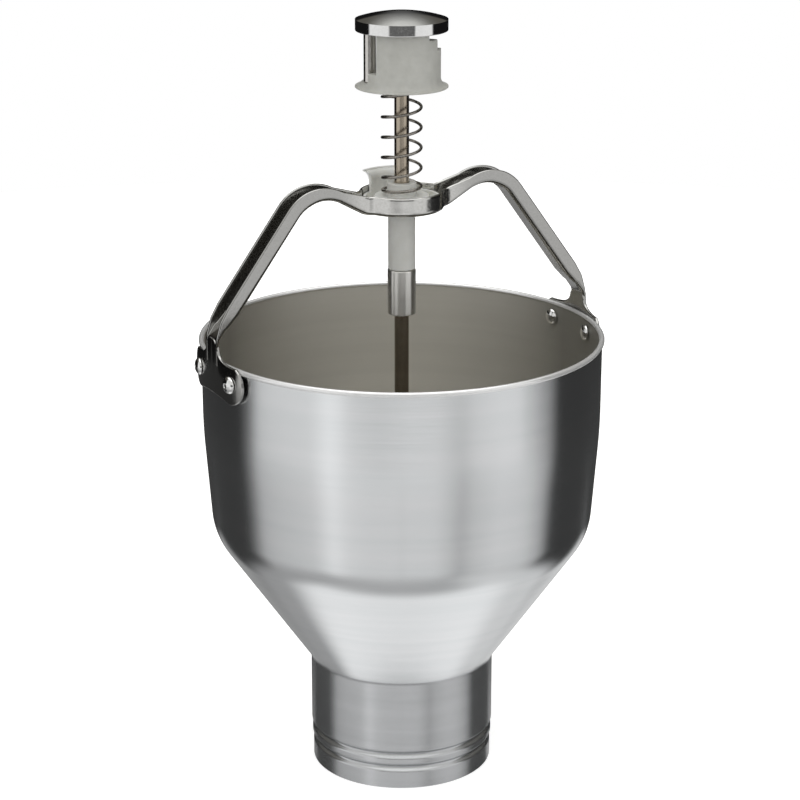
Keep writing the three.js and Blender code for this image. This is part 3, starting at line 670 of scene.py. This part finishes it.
def hopper_body():
    """The hopper as one spun shell: rolled rim, wall, shoulder, cone, tube, grooves and foot."""
    bead_centre = RIM_RADIUS + BEAD_REACH - BEAD_RADIUS
    outer_turn = degrees(acos((RIM_RADIUS - bead_centre) / BEAD_RADIUS))
    inner_turn = degrees(acos((RIM_RADIUS - SHELL_WALL - bead_centre) / BEAD_RADIUS))
    bead = arc(bead_centre, RIM_HEIGHT - BEAD_RADIUS, BEAD_RADIUS, -outer_turn, 360 - inner_turn, 16)
    bowl = rounded([
        (RIM_RADIUS, bead[0][1]),
        WALL_BREAK,
        SHOULDER,
        (TUBE_RADIUS, TUBE_HEIGHT, TUBE_BLEND), (TUBE_RADIUS, TUBE_MIDDLE),
    ], closed=False, steps=12)
    inner_bowl = []
    for i, (r, z) in enumerate(bowl):
        ahead = heading(bowl, i)
        inner_bowl.append((r + ahead.y * SHELL_WALL, z - ahead.x * SHELL_WALL))
    tube = [p for groove in GROOVES for p in groove_run(*groove)]
    inner_tube = [(r - SHELL_WALL, z) for r, z in tube]
    foot_bore = FOOT_RADIUS - SHELL_WALL
    foot = [(FOOT_RADIUS, 0.5), (FOOT_RADIUS - 0.5, 0), (foot_bore + 0.4, 0), (foot_bore, 0.4)]
    profile = bead[::-1] + bowl[1:] + tube + foot + inner_tube[::-1] + inner_bowl[::-1][:-1]
    body = lathe("hopper_body", profile, sides=240, crease=40)
    finish(body, "body", SPUN, "hopper_shell")
    for material in (INSIDE, SHADED_TUBE, BRIGHTENED_RIM):
        body.data.materials.append(material)
    for polygon in body.data.polygons:
        polygon.material_index = hopper_slot(polygon.center / MM, polygon.normal)


def outlet_liner():
    """A smooth liner in the tube, thin behind the grooves, with a sloped mouth."""
    profile = rounded([
        (LINER_BORE, LINER_BOTTOM, 0.4), (LINER_NECK, LINER_BOTTOM, 0.4),
        (LINER_NECK, LINER_LEDGE, 0.2), (LINER_RADIUS, LINER_LEDGE, 0.3),
        (LINER_RADIUS, LINER_TOP, 0.4), (LINER_BORE + LINER_MOUTH, LINER_TOP, 0.4),
        (LINER_BORE, LINER_TOP - LINER_MOUTH, 1),
    ])
    finish(lathe("outlet_sleeve", profile), "body", WHITE_NYLON, "outlet_liner")


# Bail

def plan_half_width(x):
    """Half the bail's width at x, and the cosine of the outline's slope there."""
    x = abs(x)
    centre = sqrt((HUB_RADIUS + FLARE_RADIUS) ** 2 - (ARM_HALF_WIDTH + FLARE_RADIUS) ** 2)
    join = centre * HUB_RADIUS / (HUB_RADIUS + FLARE_RADIUS)
    if x < join:
        width = sqrt(HUB_RADIUS ** 2 - x ** 2)
        slope = x / width
    elif x < centre:
        rise = sqrt(FLARE_RADIUS ** 2 - (centre - x) ** 2)
        width = ARM_HALF_WIDTH + FLARE_RADIUS - rise
        slope = (centre - x) / rise
    else:
        return ARM_HALF_WIDTH, 1.0
    return width, 1 / sqrt(1 + slope ** 2)


def depth_at(x):
    """Height of the flanges at x: they narrow beside the hub and fade out at the plate."""
    for (x0, d0), (x1, d1) in zip(DEPTHS, DEPTHS[1:]):
        if x0 <= x < x1:
            return d0 + (d1 - d0) * (x - x0) / (x1 - x0)
    return DEPTHS[0][1] if x < DEPTHS[0][0] else DEPTHS[-1][1]


def bail_stations():
    """Points of the web's underside from the middle to the plate: place, upward normal and flange height."""
    hub_middle = HUB_UNDERSIDE + HUB_DEPTH / 2
    foot_height = RIM_HEIGHT + ARM_FOOT_RISE
    rise = tan(radians(RISE_ANGLE))
    fall = tan(radians(ARM_ANGLE))
    foot_x = (PLATE_INNER + PLATE_OUTER) / 2
    peak_x = (foot_height + fall * foot_x - hub_middle + rise * VALLEY_X) / (rise + fall)
    line = rounded([
        (0, hub_middle), (VALLEY_X, hub_middle, VALLEY_BLEND),
        (peak_x, hub_middle + rise * (peak_x - VALLEY_X), PEAK_BLEND), (foot_x, foot_height),
    ], closed=False, steps=28)
    dense = []
    for a, b in zip(line, line[1:]):
        steps = max(1, ceil(dist(a, b) / ARM_STEP))
        dense += [(a[0] + (b[0] - a[0]) * k / steps, a[1] + (b[1] - a[1]) * k / steps) for k in range(steps)]
    web = []
    for i, point in enumerate(dense):
        ahead = heading(dense, i)
        normal = Vector((-ahead.y, ahead.x)) if i else Vector((0, 1))
        depth = depth_at(point[0])
        web.append((Vector(point) - normal * depth / 2, normal, depth))
    return web


def knuckle_stations(web):
    """Bend the web from the arm's slope down into the plate."""
    slope = radians(ARM_ANGLE)
    direction = Vector((cos(slope), -sin(slope)))
    kept = [s for s in web if s[0].x < PLATE_INNER - KNUCKLE_START]
    last = kept[-1][0]
    corner = last + direction * (PLATE_INNER + KNUCKLE_SINK - last.x) / direction.x
    line = [tuple(last), (corner.x, corner.y, KNUCKLE_RADIUS), (corner.x, corner.y - KNUCKLE_DROP)]
    bend = rounded(line, closed=False, steps=10)
    added = []
    for i, point in enumerate(bend[1:], 1):
        ahead = heading(bend, i)
        added.append((Vector(point), Vector((-ahead.y, ahead.x)), depth_at(point[0])))
    return kept + added


def bail_section(base, normal, depth):
    """The closed U section at one station, from the middle of the web out and back.
    Small least values keep its points apart where the flanges fade out."""
    thick = SHEET
    lip = thick / 2 * min(max(depth / thick - 1, 0.03), 1)
    top = max(depth - lip, thick + 0.15)
    corner = min(WEB_CORNER, top - 0.1)
    inner_corner = min(max(corner - thick, 0.1), top - thick - 0.05)
    inner_base = thick + inner_corner
    outer = [("web", share, 0.0) for share in (0.0, 0.5, 0.92)]
    for k in range(9):
        a = radians(90 * k / 8)
        outer.append(("edge", corner * (1 - sin(a)), corner * (1 - cos(a))))
    outer += [("edge", 0.0, corner + (top - corner) * share) for share in FLANGE_SHARES]
    for k in range(1, 8):
        a = radians(180 * k / 8)
        outer.append(("edge", thick / 2 * (1 - cos(a)), top + lip * sin(a)))
    inner = [("edge", thick, inner_base + (top - inner_base) * share) for share in FLANGE_SHARES[::-1]]
    for k in range(8, -1, -1):
        a = radians(90 * k / 8)
        inset = thick + inner_corner * (1 - sin(a))
        inner.append(("edge", inset, thick + inner_corner * (1 - cos(a))))
    inner += [("web", share, thick) for share in (0.5, 0.0)]
    right = []
    for kind, value, rise in outer + inner:
        spot = base + normal * rise
        half, cosine = plan_half_width(spot.x)
        if kind == "edge":
            y = half - value / cosine
        else:
            y = (half - corner / cosine) * value
        right.append((spot.x, y, spot.y))
    left = [(x, -y, z) for x, y, z in right[1:-1]]
    return right + left[::-1]


def curve(start, control, end, first, last, steps=12):
    """Points first to last of a quadratic curve with this many steps."""
    points = []
    for k in range(first, last + 1):
        t = k / steps
        a, b, c = (1 - t) ** 2, 2 * t * (1 - t), t * t
        points.append(tuple(a * start[i] + b * control[i] + c * end[i] for i in (0, 1)))
    return points


def plate_outline():
    """The bracket plate's outline laid flat: a crowned top, waisted sides, two lobes and a scallop."""
    lobe_y = (PLATE_INNER + PLATE_OUTER) / 2 * radians(RIVET_ANGLE)
    lobe = arc(lobe_y, RIVET_HEIGHT, LOBE_RADIUS, 60, -108, 20)
    end = lobe[-1]
    corner = (PLATE_TOP_HALF_WIDTH, PLATE_TOP - PLATE_CROWN)
    scallop = (0, RIVET_HEIGHT - LOBE_RADIUS + SCALLOP_RISE)
    right = [(corner[0] * k / 6, PLATE_TOP - PLATE_CROWN * (k / 6) ** 3) for k in range(6)]
    right += curve(corner, (PLATE_TOP_HALF_WIDTH, RIM_HEIGHT), lobe[0], 0, 12)
    right += lobe[1:]
    right += curve(end, scallop, (-end[0], end[1]), 1, 6)
    return right + [(-x, y) for x, y in right[1:-1]][::-1]


def bracket_plate(side):
    """The plate at one end: cut into strips, thickened, rounded at its edge and wrapped round the rim."""
    bm = bmesh.new()
    bm.faces.new([bm.verts.new((x, y, 0)) for x, y in plate_outline()])
    for k in range(-PLATE_HALF_SPAN, PLATE_HALF_SPAN + 1):
        geometry = bm.verts[:] + bm.edges[:] + bm.faces[:]
        bmesh.ops.bisect_plane(bm, geom=geometry, plane_co=(k, 0, 0), plane_no=(1, 0, 0))
    bmesh.ops.triangulate(bm, faces=[f for f in bm.faces if len(f.verts) > 4])
    grown = bmesh.ops.extrude_face_region(bm, geom=bm.faces[:])
    moved = [v for v in grown["geom"] if isinstance(v, bmesh.types.BMVert)]
    bmesh.ops.translate(bm, vec=(0, 0, PLATE_OUTER - PLATE_INNER), verts=moved)
    bmesh.ops.recalc_face_normals(bm, faces=bm.faces)
    edges = [e for e in bm.edges if len(e.link_faces) == 2 and e.calc_face_angle(0) > 1.2]
    bmesh.ops.bevel(bm, geom=edges, offset=PLATE_EDGE, segments=3, profile=0.5, affect="EDGES")
    for v in bm.verts:
        angle = v.co.x / ((PLATE_INNER + PLATE_OUTER) / 2)
        radius = PLATE_INNER + v.co.z
        v.co = Vector((side * radius * cos(angle), radius * sin(angle), v.co.y)) * MM
    mesh = bpy.data.meshes.new("plate")
    bm.to_mesh(mesh)
    bm.free()
    obj = link("plate", mesh)
    tidy(obj)
    return obj


def bail():
    """The whole channel as one loft, bored for the bush, with a bracket plate joined to each end."""
    stations = knuckle_stations(bail_stations())
    left = [(Vector((-p.x, p.y)), Vector((-n.x, n.y)), d) for p, n, d in stations[1:]]
    sections = [bail_section(*station) for station in left[::-1] + stations]
    channel = loft("bail", sections, crease=38)
    low, high = HUB_BORE_RUN
    boolean(channel, rod_between("bore", HUB_BORE, (0, 0, low), (0, 0, high), 96), "DIFFERENCE")
    plates = boolean(bracket_plate(1), bracket_plate(-1), "UNION")
    boolean(channel, plates, "UNION")
    finish(channel, "body", PLATING, "bail_handle")


def rivet(name, angle, node):
    """A rivet through plate and wall, domed at both ends, with a pin mark in its outer head."""
    wall = (WALL_BREAK[0] - SHELL_WALL) * cos(pi / 48)
    inner = sqrt(wall ** 2 - RIVET_HEAD ** 2) - SEAT_GAP
    outer = PLATE_OUTER + SEAT_GAP
    seat = RIVET_HEAD - 0.05
    profile = [(r, outer + rise) for r, rise in RIVET_MARK]
    for turn in range(68, -1, -6):
        a = radians(turn)
        profile.append((RIVET_HEAD * cos(a), outer + RIVET_DOME * sin(a)))
    profile += [(seat, outer), (RIVET_SHANK, outer), (RIVET_SHANK, inner), (seat, inner)]
    for turn in range(0, 91, 6):
        a = radians(turn)
        profile.append((RIVET_HEAD * cos(a), inner - RIVET_DOME * sin(a)))
    head = place_radially(lathe(name, profile, sides=48), angle, RIVET_HEIGHT)
    finish(head, "body", CHROME, node)


# Guide bush and spring

def lip(radius, height, sign, steps=10):
    """Outside of a flared lip from its edge to the wall; sign is 1 where the edge is at the foot."""
    run = []
    for k in range(steps + 1):
        a = radians(90 * k / steps)
        rise = LIP_EDGE + LIP_RISE * (1 - cos(a))
        run.append((radius + LIP_REACH * (1 - sin(a)), height + sign * rise))
    return run


def guide_bush():
    """A bush with a tube below, a seat ring, a boss, and a curved guard wall standing at its back."""
    ring_bore = BUSH_RADIUS - BUSH_WALL
    ring_top = BUSH_BASE + BUSH_RING_RISE
    ring_floor = BUSH_BASE + BUSH_FLOOR_RISE
    boss_top = BUSH_SEAT + BOSS_HEIGHT
    bush = lathe("bush", rounded([
        (BORE_RADIUS, BUSH_BOTTOM, 0.4), (BUSH_TUBE_RADIUS, BUSH_BOTTOM, 0.5),
        (BUSH_TUBE_RADIUS, BUSH_BASE), (BUSH_RADIUS, BUSH_BASE, 0.4), (BUSH_RADIUS, ring_top, 0.4),
        (ring_bore, ring_top, 0.4), (ring_bore, ring_floor, 0.6), (BUSH_STEP_RADIUS, ring_floor, 0.5),
        (BUSH_STEP_RADIUS, BUSH_SEAT, 0.6), (BOSS_RADIUS, BUSH_SEAT, 0.5),
        (BOSS_RADIUS, boss_top - BOSS_CHAMFER), (BOSS_RADIUS - BOSS_CHAMFER, boss_top, 0.2),
        (BORE_RADIUS, boss_top, 0.4),
    ]))
    top = BUSH_BASE + GUARD_RISE
    foot = BUSH_BASE + GUARD_SINK
    edge = BUSH_RADIUS + LIP_REACH
    outside = lip(BUSH_RADIUS, top, -1)
    inside = [(r - BUSH_WALL, z) for r, z in outside]
    wall = [(BUSH_RADIUS, foot)] + outside[::-1]
    wall += [(edge, top - 0.3), (edge - 0.3, top), (edge - 1.3, top), (edge - BUSH_WALL, top - 0.4)]
    wall += inside + [(ring_bore, foot)]
    boolean(bush, lathe("guard", wall, sides=48, span=GUARD_SPAN), "UNION")
    finish(bush, "body", BRIGHTENED_NYLON, "guide_bush")


def return_spring():
    """An open coil with a flatter turn at each end, as one unbroken wire."""
    bottom = SPRING_BOTTOM + WIRE_RADIUS
    top = SPRING_TOP - WIRE_RADIUS
    open_turns = (top - bottom - COIL_LOW_PITCH - COIL_HIGH_PITCH) / COIL_PITCH
    turns = open_turns + 2
    steps = round(turns * COIL_TURN_STEPS)
    centres = []
    for k in range(steps + 1):
        turn = turns * k / steps
        height = bottom + min(turn, 1) * COIL_LOW_PITCH
        height += min(max(turn - 1, 0), open_turns) * COIL_PITCH
        height += max(turn - 1 - open_turns, 0) * COIL_HIGH_PITCH
        centres.append(around(COIL_RADIUS, COIL_PHASE + 360 * turn, height))
    sections = []
    for i, centre in enumerate(centres):
        forward = heading(centres, i)
        outward = Vector((centre.x, centre.y, 0)).normalized()
        side = forward.cross(outward).normalized()
        out = side.cross(forward)
        ring = arc(0, 0, WIRE_RADIUS, 0, 360, 14)[:-1]
        sections.append([tuple(centre + out * x + side * y) for x, y in ring])
    coil = loft("spring_coil", sections)
    finish(coil, "body", WIRE, "return_spring")
    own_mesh(coil)


# Plunger

def turned_piece(name, corners, body, material, node, sides=96):
    """A finished piece turned from the corners of its section."""
    finish(lathe(name, rounded(corners), sides=sides), body, material, node)


def rod():
    """The plunger rod, with rounded ends."""
    turned_piece("rod", [
        (0, ROD_BOTTOM), (ROD_RADIUS, ROD_BOTTOM, 0.6), (ROD_RADIUS, ROD_TOP, 0.6), (0, ROD_TOP),
    ], "plunger", ROD_STEEL, "plunger_rod", 64)


def collar():
    """A turned stop collar, with a tapped cross hole and its set screw."""
    low = COLLAR_TOP - COLLAR_LENGTH
    middle = COLLAR_TOP - COLLAR_LENGTH / 2
    ring = lathe("collar", rounded([
        (BORE_RADIUS, low, 0.3), (COLLAR_RADIUS, low, 0.6), (COLLAR_RADIUS, COLLAR_TOP, 0.6),
        (BORE_RADIUS, COLLAR_TOP, 0.3),
    ]), sides=96)
    start, end = (around(radius, SCREW_ANGLE, middle) for radius in TAPPED_RUN)
    boolean(ring, rod_between("tapped", TAPPED_RADIUS, start, end, 32), "DIFFERENCE")
    finish(ring, "plunger", TURNED, "stop_collar")
    screw = lathe("set_screw", rounded([
        (0, BORE_RADIUS), (SCREW_RADIUS, BORE_RADIUS, 0.3), (SCREW_RADIUS, SCREW_END, 0.2),
        (SOCKET_RADIUS, SCREW_END), (SOCKET_RADIUS, SOCKET_FLOOR), (0, SOCKET_FLOOR),
    ]), sides=36)
    place_radially(screw, SCREW_ANGLE, middle)
    finish(screw, "plunger", STEEL, "collar_screw")


def hex_nut(name, bottom, node):
    """A hexagon nut with turned-off corners."""
    across = NUT_RADIUS * cos(pi / 6)
    full = ((NUT_CHAMFER, NUT_RADIUS), (NUT_HEIGHT - NUT_CHAMFER, NUT_RADIUS))
    sections = []
    for level, limit in ((0, across), *full, (NUT_HEIGHT, across)):
        ring = []
        for turn in range(0, 360, 5):
            flat = across / cos(radians(turn % 60 - 30))
            ring.append(around(min(flat, limit), turn, bottom + level))
        sections.append(ring)
    nut = loft(name, sections)
    bore = rod_between("bore", BORE_RADIUS, (0, 0, bottom - 1), (0, 0, bottom + NUT_HEIGHT + 1), 64)
    boolean(nut, bore, "DIFFERENCE")
    finish(nut, "plunger", STEEL, node)


def washer(name, top, node):
    """A flat washer below a disc."""
    low = top - WASHER_THICKNESS
    turned_piece(name, [
        (BORE_RADIUS, low, 0.1), (WASHER_RADIUS, low, 0.25), (WASHER_RADIUS, top, 0.25),
        (BORE_RADIUS, top, 0.1),
    ], "plunger", STEEL, node)


def plunger_discs():
    """The piston disc, the cut-off disc with its seal, and the washers and nuts that hold them."""
    face = DISC_RADIUS - PISTON_BEVEL
    turned_piece("piston", [
        (BORE_RADIUS, PISTON_BOTTOM, 0.2), (face, PISTON_BOTTOM, 0.6),
        (DISC_RADIUS, PISTON_BOTTOM + PISTON_BEVEL, 0.6),
        (DISC_RADIUS, PISTON_TOP - PISTON_BEVEL, 0.6), (face, PISTON_TOP, 0.6),
        (PISTON_HUB_FOOT, PISTON_TOP, 0.6), (PISTON_HUB_RADIUS, PISTON_HUB_TOP, 0.6),
        (BORE_RADIUS, PISTON_HUB_TOP, 0.2),
    ], "plunger", WHITE_NYLON, "upper_piston", 160)
    groove_low = CUTOFF_BOTTOM + GROOVE_LIP
    groove_high = CUTOFF_TOP - GROOVE_LIP
    turned_piece("cutoff", [
        (BORE_RADIUS, CUTOFF_BOTTOM, 0.2), (DISC_RADIUS, CUTOFF_BOTTOM, 0.4),
        (DISC_RADIUS, groove_low, 0.1), (GROOVE_FLOOR, groove_low),
        (GROOVE_FLOOR, groove_high), (DISC_RADIUS, groove_high, 0.1),
        (DISC_RADIUS, CUTOFF_TOP, 0.4), (BORE_RADIUS, CUTOFF_TOP, 0.2),
    ], "plunger", WHITE_NYLON, "cutoff_disc", 160)
    seal_centre = (GROOVE_FLOOR + SEAT_GAP + SEAL_RADIUS, (CUTOFF_BOTTOM + CUTOFF_TOP) / 2)
    seal = lathe("seal", arc(*seal_centre, SEAL_RADIUS, 0, 360, 20)[:-1], sides=160)
    finish(seal, "plunger", RUBBER, "disc_seal")
    washer("piston_washer_ring", PISTON_BOTTOM - SEAT_GAP, "piston_washer")
    washer("disc_washer_ring", CUTOFF_BOTTOM - SEAT_GAP, "disc_washer")
    under_washer = 2 * SEAT_GAP + WASHER_THICKNESS + NUT_HEIGHT
    hex_nut("nut_disc_low", CUTOFF_BOTTOM - under_washer, "disc_lower_nut")
    hex_nut("nut_disc_high", CUTOFF_TOP + SEAT_GAP, "disc_upper_nut")
    hex_nut("nut_piston_low", PISTON_BOTTOM - under_washer, "piston_lower_nut")
    hex_nut("nut_piston_high", PISTON_HUB_TOP + SEAT_GAP, "piston_upper_nut")
    hex_nut("nut_top", SLEEVE_ROOF - SEAT_GAP - NUT_HEIGHT, "rod_top_nut")


# Dial, post and button

def post():
    """The stop post, whose thin end is pressed up into the button."""
    low = DIAL_LOW + SEAT_GAP
    shoulder = BUTTON_ROOF - SEAT_GAP
    top = BUTTON_ROOF + POST_PIN_RISE
    pin = lathe("post", rounded([
        (0, low), (POST_RADIUS, low, 0.4), (POST_RADIUS, shoulder, 0.2), (POST_PIN_RADIUS, shoulder),
        (POST_PIN_RADIUS, top, 0.2), (0, top),
    ]), sides=64)
    pin.data.transform(Matrix.Translation(around(*POST_PLACE) * MM))
    finish(pin, "plunger", STEEL, "stop_post")


def button():
    """The thumb button: a low dome on a straight skirt, bored below for the rod and the post."""
    dome_radius = (BUTTON_RADIUS ** 2 + BUTTON_DOME ** 2) / (2 * BUTTON_DOME)
    dome_angle = degrees(asin(BUTTON_RADIUS / dome_radius))
    centre = BUTTON_SHOULDER + BUTTON_DOME - dome_radius
    dome = arc(0, centre, dome_radius, 90 - dome_angle, 90, 28)
    profile = rounded([
        (0, BUTTON_ROOF), (BUTTON_BORE, BUTTON_ROOF, 0.6),
        (BUTTON_BORE, BUTTON_BOTTOM, 0.3), (BUTTON_RADIUS, BUTTON_BOTTOM, 0.4),
        (dome[0][0], dome[0][1] - 0.05),
    ], closed=False) + dome
    cap = lathe("button", profile, sides=160, crease=20)
    start = (0, 0, BUTTON_HOLE_START)
    rod_bore = rod_between("bore", BORE_RADIUS, start, (0, 0, ROD_TOP + SEAT_GAP), 64)
    boolean(cap, rod_bore, "DIFFERENCE")
    pin_top = BUTTON_ROOF + POST_PIN_RISE + SEAT_GAP
    low, high = (around(*POST_PLACE, height) for height in (BUTTON_HOLE_START, pin_top))
    boolean(cap, rod_between("bore", POST_PIN_RADIUS + SEAT_GAP, low, high, 32), "DIFFERENCE")
    finish(cap, "plunger", CHROME, "thumb_button")


def sleeve():
    """The button's barrel, open below and bored above for the rod."""
    turned_piece("barrel", [
        (SLEEVE_BORE, SLEEVE_BOTTOM, 0.2), (SLEEVE_RADIUS, SLEEVE_BOTTOM, 0.3),
        (SLEEVE_RADIUS, SLEEVE_TOP, 0.3), (BORE_RADIUS, SLEEVE_TOP, 0.2),
        (BORE_RADIUS, SLEEVE_ROOF, 0.2), (SLEEVE_BORE, SLEEVE_ROOF, 0.4),
    ], "sleeve", GREY_NYLON, "dial_sleeve")


def dial_height(angle):
    """Height of the dial's top at an angle, with each riser eased over a degree."""
    for i, (start, end, level) in enumerate(DIAL_STEPS):
        if start <= angle < end:
            before = DIAL_STEPS[i - 1][2]
            after = DIAL_STEPS[(i + 1) % len(DIAL_STEPS)][2]
            beyond, reach = (before, angle - start) if angle - start < RISER_EASE else (after, end - angle)
            if reach < RISER_EASE:
                level += (beyond - level) * 0.5 * (1 - sin(reach / RISER_EASE * pi / 2))
            return DIAL_LOW + STEP_RISE * level
    return DIAL_LOW


def dial_section(angle):
    """The dial's closed section at one angle: bore, foot, flared lip, wall and top."""
    top = dial_height(angle)
    lip_edge = DIAL_RADIUS + LIP_REACH
    points = [(DIAL_BORE, DIAL_BOTTOM), (lip_edge - 0.3, DIAL_BOTTOM), (lip_edge, DIAL_BOTTOM + 0.25)]
    outside = []
    for r, z in lip(DIAL_RADIUS, DIAL_BOTTOM, 1, 12):
        if z <= top - 0.3 or not outside:
            outside.append((r, z))
        else:
            outside.append((outside[-1][0] - 0.02, top - 0.3))
    edge, foot_top = outside[-1]
    edge = min(DIAL_RADIUS, edge)
    shoulder = top - DIAL_ROUNDING
    points += outside
    points += [(edge, foot_top + (shoulder - foot_top) * share) for share in (0.02, 0.98, 1)]
    for turn in (0, 22, 45, 68, 90):
        a = radians(turn)
        points.append((edge - DIAL_ROUNDING * (1 - cos(a)), shoulder + DIAL_ROUNDING * sin(a)))
    points += [(DIAL_BORE + 0.5, top), (DIAL_BORE + 0.15, top - 0.12), (DIAL_BORE, top - 0.4)]
    return [around(r, angle, z) for r, z in points]


def dial():
    """The portion dial as a ring of sections, set close together at each riser."""
    first = DIAL_STEPS[0][0]
    angles = set()
    for start, end, _ in DIAL_STEPS:
        steps = ceil((end - start) / 2.5)
        angles |= {round(start + (end - start) * k / steps, 3) for k in range(steps)}
        for reach in (0.03, 0.12, 0.25, 0.4, RISER_EASE):
            angles |= {round(start - reach, 3), round(start + reach, 3)}
    wrapped = sorted({a if a >= first else a + 360 for a in angles})
    sections = [dial_section(a) for a in wrapped]
    corners = [p for section in sections for p in section]
    faces = bands(len(sections[0]), len(sections), len(sections))
    finish(make("dial", corners, faces, 40), "dial", GREY_NYLON, "portion_dial")


# Stage

def camera():
    """The photograph's camera."""
    data = bpy.data.cameras.new("camera")
    data.sensor_width = 36
    data.lens = LENS
    data.shift_x = LENS_SHIFT
    data.clip_start = 0.05
    data.clip_end = 50
    obj = link("camera", data)
    aside, ahead = sin(VIEW_TURN), cos(VIEW_TURN)
    obj.location = Vector((-CAMERA_DISTANCE * aside, -CAMERA_DISTANCE * ahead, CAMERA_HEIGHT)) * MM
    obj.rotation_euler = (radians(90 - CAMERA_PITCH), 0, -VIEW_TURN)
    bpy.context.scene.camera = obj


def level_ramp(value, stops):
    """A colour ramp of grey levels from (position, level) stops."""
    node = add(value.id_data, "ValToRGB", {"Fac": value})
    elements = node.color_ramp.elements
    while len(elements) < len(stops):
        elements.new(0.5)
    for element, (position, level) in zip(elements, stops):
        element.position = position
        element.color = (*grey(level), 1)
    return node.outputs["Color"]


def round_horizon(turn, stops):
    """Light levels from (degrees, level) stops; turn is 0.5 in front and grows to the right."""
    return level_ramp(turn, [(angle / 360 + 0.5, level) for angle, level in stops])


def mix(factor, first, second, blend="MIX"):
    """Two colours mixed, each given as numbers or as a socket."""
    tree = (first if isinstance(first, bpy.types.NodeSocket) else factor).id_data
    inputs = {"Factor": factor}
    for index, value in ((6, first), (7, second)):
        inputs[index] = value if isinstance(value, bpy.types.NodeSocket) else (*value, 1)
    return add(tree, "Mix", inputs, data_type="RGBA", blend_type=blend).outputs[2]


def light_around(front, right, aside, z):
    """Light below and round the horizon: soft boxes to the sides, with dark gaps ahead and behind."""
    turn = plus(compute("DIVIDE", compute("ARCTAN2", right, front), 2 * pi), 0.5)
    sweep = level_ramp(front, SWEEP_LEVELS)
    ahead = rising(front, -0.06, 0.06)
    rear = mix(rising(right, -0.12, 0.12), grey(0.34), grey(0.68))
    flank = mix(ahead, rear, mix(rising(aside, 0.3, 0.58), sweep, rear))
    below = mix(rising(z, -0.9, -0.78), mix(ahead, grey(0.93), sweep), flank)
    back = compute("MAXIMUM", times(front, -1), 0.01)
    apart = compute("DIVIDE", aside, back)
    rear_share = times(falling(apart, 0.45, 0.75), falling(z, -0.44, -0.38))
    fade = remap(z, -0.65, -0.33, 0.76, 1.04)
    faded = add(z.id_data, "CombineColor", {"Red": fade, "Green": fade, "Blue": fade}).outputs[0]
    low = mix(1.0, round_horizon(turn, LOW_LEVELS), faded, "MULTIPLY")
    low = mix(rear_share, low, rear)
    ring = round_horizon(turn, RING_LEVELS)
    middle = round_horizon(turn, MIDDLE_LEVELS)
    side = mix(rising(z, -0.2, -0.18), ring, middle)
    side = mix(rising(z, -0.287, -0.262), low, side)
    return mix(rising(z, -0.72, -0.58), below, side)


def light_above(level, front, aside, z):
    """Light above the horizon: a strip behind, a faint haze, a lamp over the camera and a bright top."""
    rise = remap(z, 0.15, 0.62, 0, 1)
    strip = mix(times(rise, rise), grey(0.08), (0.6, 0.6, 0.58))
    slant = compute("DIVIDE", aside, compute("MAXIMUM", z, 0.05))
    window = times(falling(slant, 0.02, 0.4), compute("LESS_THAN", front, 0.0))
    window = times(window, rising(z, 0.02, 0.12))
    haze = mix(rising(z, 0.22, 0.32), grey(0.0), (0.095, 0.09, 0.078))
    level = mix(window, mix(1.0, level, haze, "LIGHTEN"), strip)
    lamp = times(rising(front, 0.2, 0.4), rising(z, 0.12, 0.24))
    level = mix(lamp, level, (0.78, 0.78, 0.765))
    level = mix(rising(z, 0.6, 0.76), level, (0.75, 0.75, 0.73))
    return mix(rising(z, 0.8, 0.9), level, (1.9, 1.9, 1.88))


def studio():
    """A plain studio in the world's light, which the camera and clear materials see as white."""
    world = bpy.data.worlds.new("studio")
    world.use_nodes = True
    bpy.context.scene.world = world
    tree = world.node_tree
    x, y, z = split(add(tree, "TexCoord").outputs["Generated"])
    s, c = sin(VIEW_TURN), cos(VIEW_TURN)
    front = plus(times(x, -s), times(y, -c))
    right = plus(times(x, c), times(y, -s))
    aside = compute("ABSOLUTE", right)
    level = light_above(light_around(front, right, aside, z), front, aside, z)
    path = add(tree, "LightPath")
    seen = compute("MAXIMUM", path.outputs["Is Camera Ray"], path.outputs["Is Transmission Ray"])
    background = tree.nodes["Background"]
    tree.links.new(mix(seen, level, grey(1.0)), background.inputs["Color"])


def floor():
    """A round pale floor. Reflections see the bright sweep of the studio in its place."""
    corners = [(x, y, 0) for x, y in arc(0, 0, FLOOR_RADIUS, 0, 360, 96)[:-1]]
    mesh = bpy.data.meshes.new("floor")
    mesh.from_pydata([Vector(p) * MM for p in corners], [], [tuple(range(len(corners)))])
    obj = link("floor", mesh)
    material = bpy.data.materials.new("floor")
    material.use_nodes = True
    tree = material.node_tree
    tree.nodes.remove(tree.nodes["Principled BSDF"])
    spot = add(tree, "TexCoord").outputs["Object"]
    tone = colour_between(noise(spot, 40, 3, 0.6), grey(0.84), grey(0.88))
    pale = add(tree, "BsdfDiffuse", {"Color": tone})
    seen = add(tree, "LightPath").outputs["Is Camera Ray"]
    glow = add(tree, "Emission", {"Strength": times(seen, FLOOR_GLOW)})
    both = add(tree, "AddShader", {0: pale.outputs[0], 1: glow.outputs[0]})
    tree.links.new(both.outputs[0], tree.nodes["Material Output"].inputs["Surface"])
    mesh.materials.append(material)
    obj.visible_glossy = False


camera()
hopper_body()
outlet_liner()
bail()
for name, angle in (("right_rear", 10), ("right_front", -10), ("left_front", 190), ("left_rear", 170)):
    rivet("rivet_head_" + name, angle, "rivet_" + name)
guide_bush()
return_spring()
rod()
collar()
plunger_discs()
post()
button()
sleeve()
dial()
studio()
floor()
bpy.context.scene.view_settings.view_transform = "Standard"
